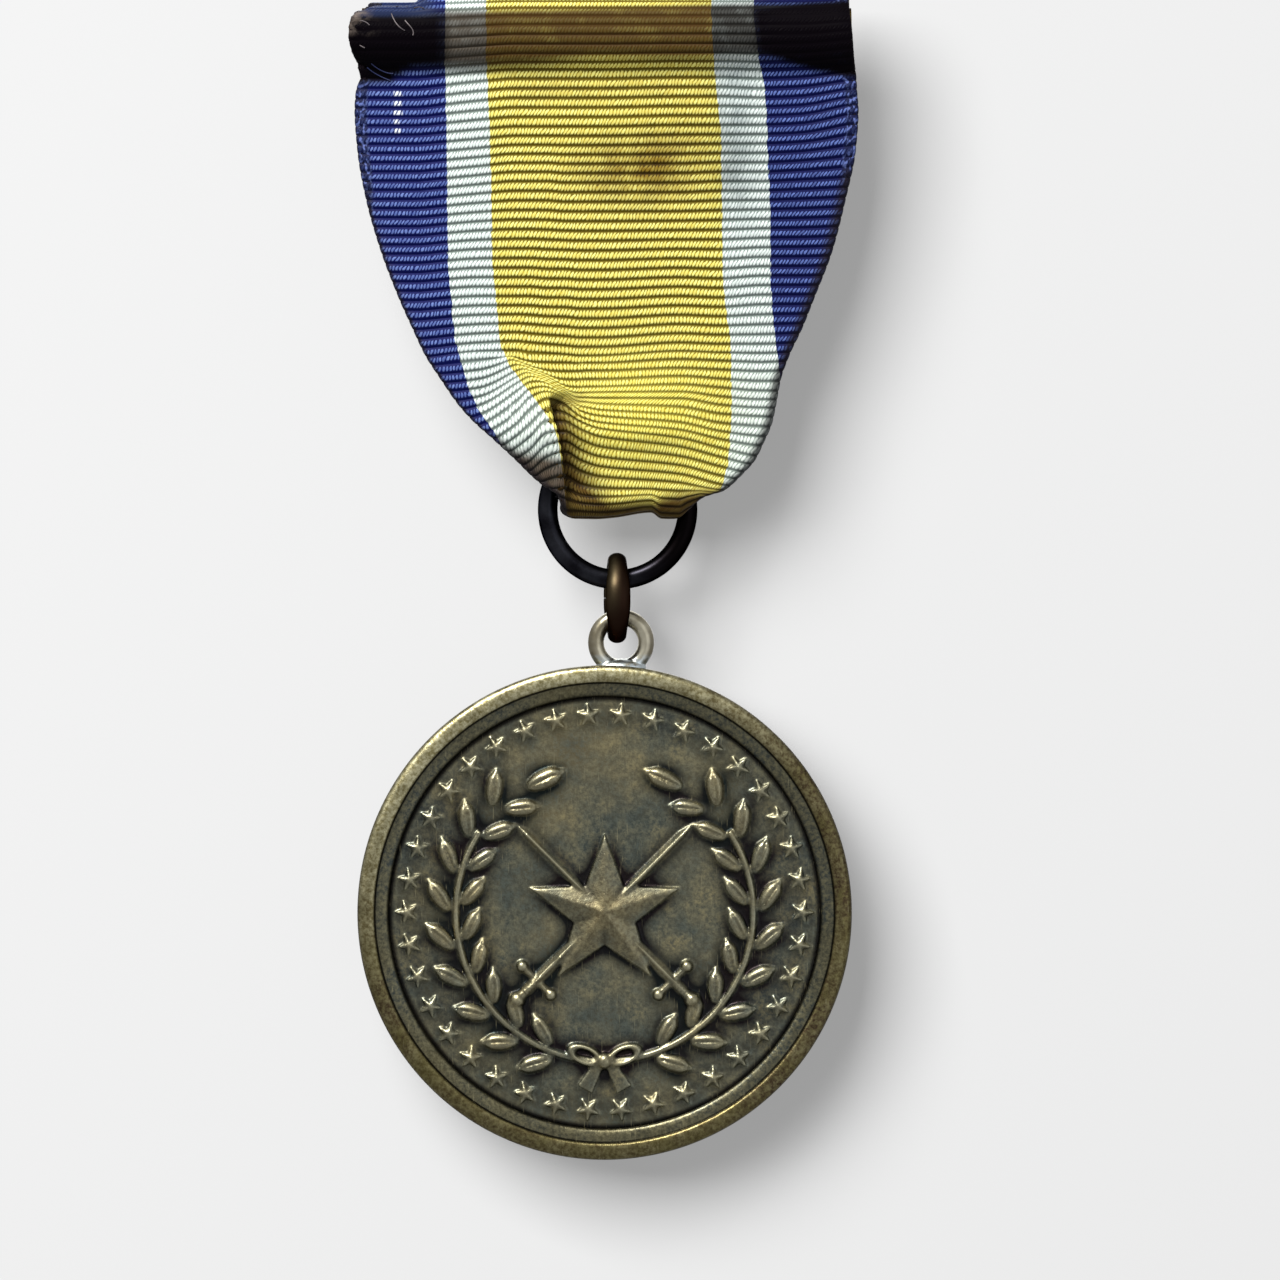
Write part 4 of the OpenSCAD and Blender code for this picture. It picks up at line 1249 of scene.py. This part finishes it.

# %% Stripe colours: a lit stitch (painted highlight), the cloth beside it, the gap (painted shade), soiled and shaded cloth
# The two last numbers say how far from a rib's crest, in ribs, the gap begins and is full.
STRIPE_LOOK = {
    "navy": ("#6f84c2", "#16276f", "#020a50", "#030306", -0.04, 0.13),
    "white": ("#f0faf7", "#c8d3d0", "#78847f", "#3a3127", 0.06, 0.27),
    "grey": ("#f2fcf9", "#b9c4c1", "#7a8682", "#150f0b", 0.06, 0.27),
    "yellow": ("#fffc96", "#cab43e", "#6c5c0c", "#402a0b", 0.04, 0.26),
    # Painted shade: the right navy is a darker copy of the navy, as cloth lying away from the light.
    "right navy in shade": ("#6176ba", "#040e48", "#010744", "#030306", -0.04, 0.13),
}
BAND = [(0.0, "navy"), (STRIPES[0], "white"), (STRIPES[1], "yellow"), (STRIPES[2], "grey"),
        (STRIPES[3], "right navy in shade")]
thread_edge = calc("MULTIPLY_ADD", luck, 0.1, across_mm)
band_share = calc("DIVIDE", thread_edge, WIDTH)
looks = []
for k in range(6):
    ramp = add("ValToRGB", band_share)
    ramp.color_ramp.interpolation = "CONSTANT"
    ramp.color_ramp.elements.remove(ramp.color_ramp.elements[1])
    for where, stripe in BAND:
        value = STRIPE_LOOK[stripe][k]
        stop = ramp.color_ramp.elements[0] if where == 0 else ramp.color_ramp.elements.new(where / WIDTH)
        stop.color = linear(value) if isinstance(value, str) else (value, value, value, 1.0)
    looks.append(ramp)
stitch_highlight, plain, deep, soiled_and_shaded, edge_at, gap_at = looks
print("stripes:", ", ".join(stripe for _, stripe in BAND))

# %% Ribs and gaps in those colours
mask = {name: add("Attribute", attribute_name=name).outputs["Fac"] for name in masks}
# The bright stitches are a painted highlight and the dark gaps between ribs painted shade.
gap = span(toothed, edge_at, gap_at, interpolation_type="SMOOTHSTEP")
gap = calc("MULTIPLY", gap, span(mask["open"], 0.0, 1.0, 0.4, 1.0))        # weaker in the crease
gap = calc("MULTIPLY", gap, span(mask["lit_low_yellow"], 0.0, 1.0, 1.0, 0.72))      # and where light is painted on the low yellow
lit = calc("MULTIPLY", thread, span(luck, 0.0, 1.0, 0.5, 1.0))
rib_colour = mix(lit, plain, stitch_highlight)
colour = mix(gap, rib_colour, deep)

# %% Woven edges, with specks where the weft turns
from_middle = calc("ABSOLUTE", calc("SUBTRACT", across_mm, WIDTH / 2))
# The selvedge is a strip just over a millimetre wide at each side of the cloth.
selvedge = span(from_middle, WIDTH / 2 - 1.25, WIDTH / 2 - 1.05)
edge_spots = add("Mapping", cloth_uv, (0, 0, 0), (0, 0, 0.5), (4.2, 2.6, 1))
speck = span(add("TexNoise", edge_spots, 1.0, 1.0), 0.52, 0.66)
edge_colour = mix(speck, "#0c1238", "#6474b4")
colour = mix(calc("MULTIPLY", selvedge, 0.85), colour, edge_colour)

# %% A column of white flecks in the left navy stripe
FLECK_U = 3.2
FLECK_RIBS = (-20, -15)                 # the flecks sit on these ribs, a few millimetres below the bar
fleck_off = calc("ABSOLUTE", calc("SUBTRACT", thread_edge, FLECK_U))
on_ribs = calc("MULTIPLY", calc("GREATER_THAN", rib, FLECK_RIBS[0]), calc("LESS_THAN", rib, FLECK_RIBS[1]))
on_column = span(calc("MULTIPLY_ADD", luck, 0.15, fleck_off), 0.36, 0.26)
fleck = calc("MULTIPLY", calc("MULTIPLY", on_column, on_ribs), span(from_crest, 0.3, 0.15))
colour = mix(calc("MULTIPLY", fleck, thread), colour, "#eef6ff")

# %% Stain, soil, fading, and painted light, shade and shadow on the bar, the front and the folds
dirt_light_and_shade_noise = add("TexNoise", cloth_uv, 0.55, 5.0, 0.6)
# Painted light on the low yellow; painted shade in the bar's dark band and ends, just under the bar, in the
# folds and on the turned edges.
LAYERS = [                              # mask, range of the breaking-up noise and shares there, way of mixing, colour
    ("lit_low_yellow", 0.3, 0.7, 0.25, 0.6, "MULTIPLY", "#fffcb8"),
    ("grey", 0.3, 0.6, 0.45, 1.0, "MULTIPLY", "#bcc0c3"),
    ("stain_and_shadow", 0.22, 0.55, 0.25, 1.0, "MULTIPLY", "#8f7a4e"),
    ("soil_and_shade", 0.15, 0.5, 0.84, 0.96, "MIX", soiled_and_shaded),
    ("faded", 0.2, 0.8, 0.65, 0.9, "MIX", "#1c2746"),
    ("ends", 0.2, 0.45, 0.96, 1.0, "MIX", "#070408"),
    ("fuzz", 0.44, 0.6, 0.0, 0.8, "MIX", "#756a62"),
    ("shade", 0.2, 0.8, 0.88, 0.98, "MULTIPLY", "#4a2c0a"),
    ("turned", 0.2, 0.8, 0.85, 0.9, "MIX", "#171116"),
]
for name, start, end, low, high, way, tint in LAYERS:
    share = calc("MULTIPLY", mask[name], span(dirt_light_and_shade_noise, start, end, low, high))
    colour = mix(share, colour, tint, way)

# %% The silk's gloss and its threads' relief
specular = span(mask["ends"], 0.0, 1.0, 0.1, 0.02)
tree.links.new(specular.outputs[0], shader.inputs["Specular IOR Level"])
shader.inputs["Sheen Weight"].default_value = 0.02
shader.inputs["Sheen Roughness"].default_value = 0.4
thread_height = calc("MULTIPLY", lit, calc("SUBTRACT", 1.0, gap))
wear(ribbon, silk, colour, 0.5, relief_of(thread_height, 0.6, 0.05))

# %% Loose silk threads: pale where they are bare, blue lower down
loose, tree, shader = finish_named("loose_silk_thread")
spot = add("TexCoord").outputs["Object"]
tone = mix(span(add("TexNoise", spot, 900.0, 3.0), 0.35, 0.65), "#3a3338", "#7d7476")
blue = span(add("SeparateXYZ", spot).outputs["Z"], -1.6 * MM, -2.0 * MM)
twist = add("TexWave", spot, 2600.0)
wear(threads, loose, mix(blue, tone, "#1a2450"), 0.6, relief_of(twist, 0.4, 0.02))

# %% [markdown]
# ### Struck and patinated bronze
#
# Award bronze is struck, then darkened with a sulphur bath and relieved with pumice: the
# chemical brown-black stays in the corners, with a bluish-green cast, and the rubbed high
# places show warm brown metal. The pumice leaves a fine speckle and a few scratches all over.
# The rim is handled most, so it is rubbed brightest; towards its upper left it is painted lighter
# still, a painted highlight where the light falls. Height and lift come from the mesh, so the wear
# sits on the real relief.

# %% Field and raised work of the medal
bronze, tree, shader = finish_named("struck_bronze_patinated")
spot = add("TexCoord").outputs["Object"]
height, lift_at, crest_at = [add("Attribute", attribute_name=name).outputs["Fac"] for name in HEIGHTS]
cloud = add("TexNoise", spot, 170.0, 6.0, 0.6)
blotch = add("TexNoise", spot, 520.0, 5.0, 0.62)
speckle = add("TexNoise", spot, 3600.0, 3.0, 0.7)
speckle_share = span(speckle, 0.36, 0.64)
field_tone = mix(span(cloud, 0.34, 0.68), "#505753", "#7e755a")
field_light = mix(span(blotch, 0.35, 0.7), "#747d74", "#a99d73")
colour = mix(calc("MULTIPLY", speckle_share, 0.62), field_tone, field_light)
raised = calc("MULTIPLY", span(height, 0.12, 0.75), span(blotch, 0.3, 0.72, 0.45, 1.0))
colour = mix(raised, colour, mix(speckle_share, "#6f6348", "#998f6e"))
worn = span(crest_at, 0.2, 1.1, 0.0, 0.75)
colour = mix(worn, colour, "#c9c4a4")
sunk = span(lift_at, -0.02, -0.38, 0.0, 0.95)
colour = mix(sunk, colour, mix(span(cloud, 0.4, 0.6), "#1a1218", "#0f1b1f"))

# %% Rim and step, by distance from the disc's middle in millimetres
centred = add("Mapping", spot, (-DISC[0] * MM, 0, -DISC[1] * MM))
flat_xz = add("VectorMath", centred, (1 / MM, 0, 1 / MM), operation="MULTIPLY")
radius = add("VectorMath", flat_xz, operation="LENGTH")
rim_dark = mix(span(cloud, 0.35, 0.65), "#47392b", "#5c5434")
rim_light = mix(span(blotch, 0.35, 0.65), "#7f774c", "#8f8865")
rim_tone = mix(calc("MULTIPLY", speckle_share, 0.75), rim_dark, rim_light)
# Painted highlight: the rim gets lighter towards its upper left, where the light falls.
upper_left = add("VectorMath", spot, (-0.45, 0, 0.9), operation="DOT_PRODUCT").outputs["Value"]
up_high = span(upper_left, -52.0 * MM, -40.5 * MM)
rim_top_highlight = calc("MULTIPLY", up_high, span(blotch, 0.25, 0.6, 0.5, 0.95))
rim_tone = mix(rim_top_highlight, rim_tone, mix(speckle_share, "#8c835a", "#d2cca8"))
step_dark = mix(span(cloud, 0.35, 0.65), "#3d4444", "#57523d")
step_tone = mix(calc("MULTIPLY", speckle_share, 0.7), step_dark, "#857f62")
colour = mix(span(radius, 15.02, 15.1), colour, step_tone)
colour = mix(span(radius, 15.93, 16.04), colour, rim_tone)

# %% Dark grooves beside the rim and the step, and the rim's darker outer edge
GROOVES = [(15.97, 0.1, 0.02), (14.93, 0.32, 0.06)]    # radius, half width of the shade and of full black
for groove_r, shade_w, black_w in GROOVES:
    away = calc("ABSOLUTE", calc("SUBTRACT", radius, groove_r))
    colour = mix(span(away, shade_w, black_w, 0.0, 0.9), colour, "#120f12")
colour = mix(span(radius, 17.08, 17.19, 0.0, 0.6), colour, "#2a1c14")

# %% Scratches, gloss and grain of the bronze
for turned, amount in ((0.9, 0.35), (-0.5, 0.25)):
    lines = add("Mapping", spot, (0, 0, 0), (0, turned, 0), (11000, 2000, 700))
    scratch = span(add("TexNoise", lines, 1.0, 2.0), 0.68, 0.76, 0.0, amount)
    colour = mix(scratch, colour, "#c4bb94")
shader.inputs["Metallic"].default_value = 1.0
uneven = calc("MULTIPLY_ADD", speckle, 0.6, blotch)
wear(medal, bronze, colour, span(blotch, 0.3, 0.7, 0.3, 0.46), relief_of(uneven, 0.55, 0.06))

# %% Soldered eye: paler than the disc, painted shade outside and below, bright where the solder ran
eye_metal, tree, shader = finish_named("soldered_bronze_wire")
spot = add("TexCoord").outputs["Object"]
cloud = add("TexNoise", spot, 520.0, 5.0)
fine = add("TexNoise", spot, 2600.0, 4.0)
tone = mix(span(cloud, 0.35, 0.62), "#a0977f", "#eae3cb")
low = add("SeparateXYZ", spot).outputs["Z"]
from_eye = add("Mapping", spot, (-EYE[0] * MM, -HANG_Y * MM, -EYE[1] * MM))
eye_radius = add("VectorMath", from_eye, operation="LENGTH").outputs["Value"]
# Painted shade: the outer, lower part of the eye is darkened.
outside = span(eye_radius, (EYE[2] - 0.05) * MM, (EYE[2] + 0.4) * MM)
lower = span(low, -41.0 * MM, -42.4 * MM)
lower_outer_shade = calc("MULTIPLY", calc("MULTIPLY", outside, lower), span(cloud, 0.3, 0.6, 0.3, 0.65))
tone = mix(lower_outer_shade, tone, "#3d3128")
solder_here = span(low, -43.0 * MM, -43.6 * MM)
patch = calc("MULTIPLY", solder_here, span(fine, 0.34, 0.5))
shader.inputs["Metallic"].default_value = 1.0
wear(eye, eye_metal, mix(patch, tone, "#dfe9ec"), 0.3, relief_of(fine, 0.35, 0.05))

# %% [markdown]
# ### Wire and pin metals
#
# The ring is blackened bronze wire, nearly black and satin; its lighter tone shows only on its
# left and it darkens to near black on its right, as painted light and shade. The link is a
# flattened wire, dark brown, with a painted highlight on its upper left part. The pin and bar are
# brass that has tarnished unevenly where air gets at it.

# %% Three tarnished metals, each with its own colours, wear and gloss
WIRES = [                               # piece, metal, dark, light, where wear begins and is full, satin
    (ring, "blackened_bronze_wire", "#1b1a1f", "#34353b", 0.35, 0.65, 0.3),
    (link, "brown_wire_with_painted_highlight", "#291a14", "#463e2e", 0.35, 0.62, 0.4),
    (frame["nodes"]["brooch"], "tarnished_brass_pin", "#6b5830", "#a8925a", 0.35, 0.7, 0.32),
]
for piece, name, dark, light, worn_from, worn_to, satin in WIRES:
    metal, tree, shader = finish_named(name)
    spot = add("TexCoord").outputs["Object"]
    cloud = add("TexNoise", spot, 520.0, 6.0, 0.6)
    fine = add("TexNoise", spot, 3200.0, 3.0)
    share = span(cloud, worn_from, worn_to)
    if piece is link:                   # painted highlight at its upper left
        high_up = span(add("SeparateXYZ", spot).outputs["Z"], -40.6 * MM, -38.2 * MM, 0.12, 1.0)
        to_left = span(add("SeparateXYZ", spot).outputs["X"], 1.1 * MM, 0.5 * MM, 0.15, 1.0)
        upper_left_highlight = calc("MULTIPLY", high_up, span(cloud, 0.25, 0.6, 0.6, 1.0))
        share = calc("MULTIPLY", upper_left_highlight, to_left)
    if piece is ring:                   # and this one's lighter tone on its left only, as painted light
        to_left = span(add("SeparateXYZ", spot).outputs["X"], 4.6 * MM, 1.4 * MM, 0.0, 1.0)
        share = calc("MULTIPLY", share, to_left)
    tint = mix(share, dark, light)
    if piece is ring:
        # Painted shade: the ring darkens to near black towards its right.
        tint = mix(to_left, "#0d0a0b", tint)
    shader.inputs["Metallic"].default_value = 1.0
    shader.inputs["Specular Tint"].default_value = linear("#4a4644")
    roughness = span(cloud, 0.3, 0.7, satin - 0.05, satin + 0.1)
    wear(piece, metal, tint, roughness, relief_of(fine, 0.2, 0.03))

# %% [markdown]
# ## Stage, light and camera
#
# The medal is shown as it lies on a pale surface, which here stands upright behind it because
# the part hangs. The surface takes the soft shadow but is left out of reflections and of the
# light, and is clear from behind, so that the back of the part can be looked at too.

# %% A pale surface behind the medal
surface = new(bpy.ops.mesh.primitive_plane_add, "surface", size=3.0, rotation=QUARTER_X,
              location=(0, 0.0035, -0.04))
paper, tree, shader = finish_named("pale_paper")
shader.inputs["Base Color"].default_value = linear("#5a5a5a")
shader.inputs["Roughness"].default_value = 1.0
shader.inputs["Specular IOR Level"].default_value = 0.0
shader.inputs["Emission Color"].default_value = linear("#ffffff")
shader.inputs["Emission Strength"].default_value = 0.31     # a glow of its own keeps the paper even
clear = add("BsdfTransparent")
both = add("MixShader", add("NewGeometry").outputs["Backfacing"], shader.outputs[0], clear)
tree.links.new(both.outputs[0], tree.nodes["Material Output"].inputs["Surface"])
surface.data.materials.append(paper)
if surface.data.polygons[0].normal.y > 0:
    surface.data.flip_normals()
surface.visible_diffuse = False
surface.visible_glossy = False
surface.visible_shadow = False
surface.visible_transmission = False

# %% Sky and lamps
world = bpy.data.worlds.new("pale_room")
bpy.context.scene.world = world
world.use_nodes = True
air = world.node_tree.nodes["Background"]
air.inputs["Color"].default_value = linear("#f2f3f4")
air.inputs["Strength"].default_value = 0.45

PART_MIDDLE = Vector((0, 0, -0.04))


def lamp(name, place, size, power, colour="#ffffff"):
    """A square soft lamp that looks at the middle of the part."""
    light = bpy.data.lights.new(name, "AREA")
    light.size = size
    light.energy = power
    light.color = linear(colour)[:3]
    holder = bpy.data.objects.new(name, light)
    bpy.context.scene.collection.objects.link(holder)
    holder.location = place
    holder.rotation_euler = (PART_MIDDLE - Vector(place)).to_track_quat("-Z", "Y").to_euler()
    return holder


# A warm window at the upper left gives ribs and relief their bright and dark sides, a cool weak
# room light opens the shades on the right, and a lamp behind shows the back. A large lamp at the
# left gives the surface its soft shadow.
key = lamp("window", (-0.36, -0.66, 0.78), 0.3, 17.0, "#fffdf8")
room = lamp("room", (0.6, -0.9, 0.0), 0.9, 1.3, "#f4f8ff")
lamp("behind", (0.0, 0.95, 0.25), 0.7, 2.5)
shadow_lamp = lamp("shadow_lamp", (-0.53, -1.0, 0.52), 0.82, 116.0)

# %% The shadow lamp lights only the surface, the window and the room only the part
on_surface = bpy.data.collections.new("surface_only")
on_surface.objects.link(surface)
shadow_lamp.light_linking.receiver_collection = on_surface
on_part = bpy.data.collections.new("part_only")
for thing in bpy.context.scene.objects:
    if thing.type == "MESH" and thing is not surface:
        on_part.objects.link(thing)
for light in (key, room):
    light.light_linking.receiver_collection = on_part

# %% Camera: straight on, framed as the photograph
FRAME_WIDTH = 88.8 * MM                 # what the photograph's width spans at the ribbon's front
DISTANCE = 0.6
SENSOR = 36
camera = bpy.data.objects.new("camera", bpy.data.cameras.new("camera"))
bpy.context.scene.collection.objects.link(camera)
bpy.context.scene.camera = camera
camera.location = (2.32 * MM, FACE_Y * MM - DISTANCE, -42.05 * MM)
camera.rotation_euler = (math.pi / 2, 0, 0)
camera.data.sensor_width = SENSOR
camera.data.lens = SENSOR * DISTANCE / FRAME_WIDTH
camera.data.clip_start = 0.01
camera.data.clip_end = 10
bpy.context.scene.view_settings.view_transform = "Standard"

# %% Leave nothing selected
only()
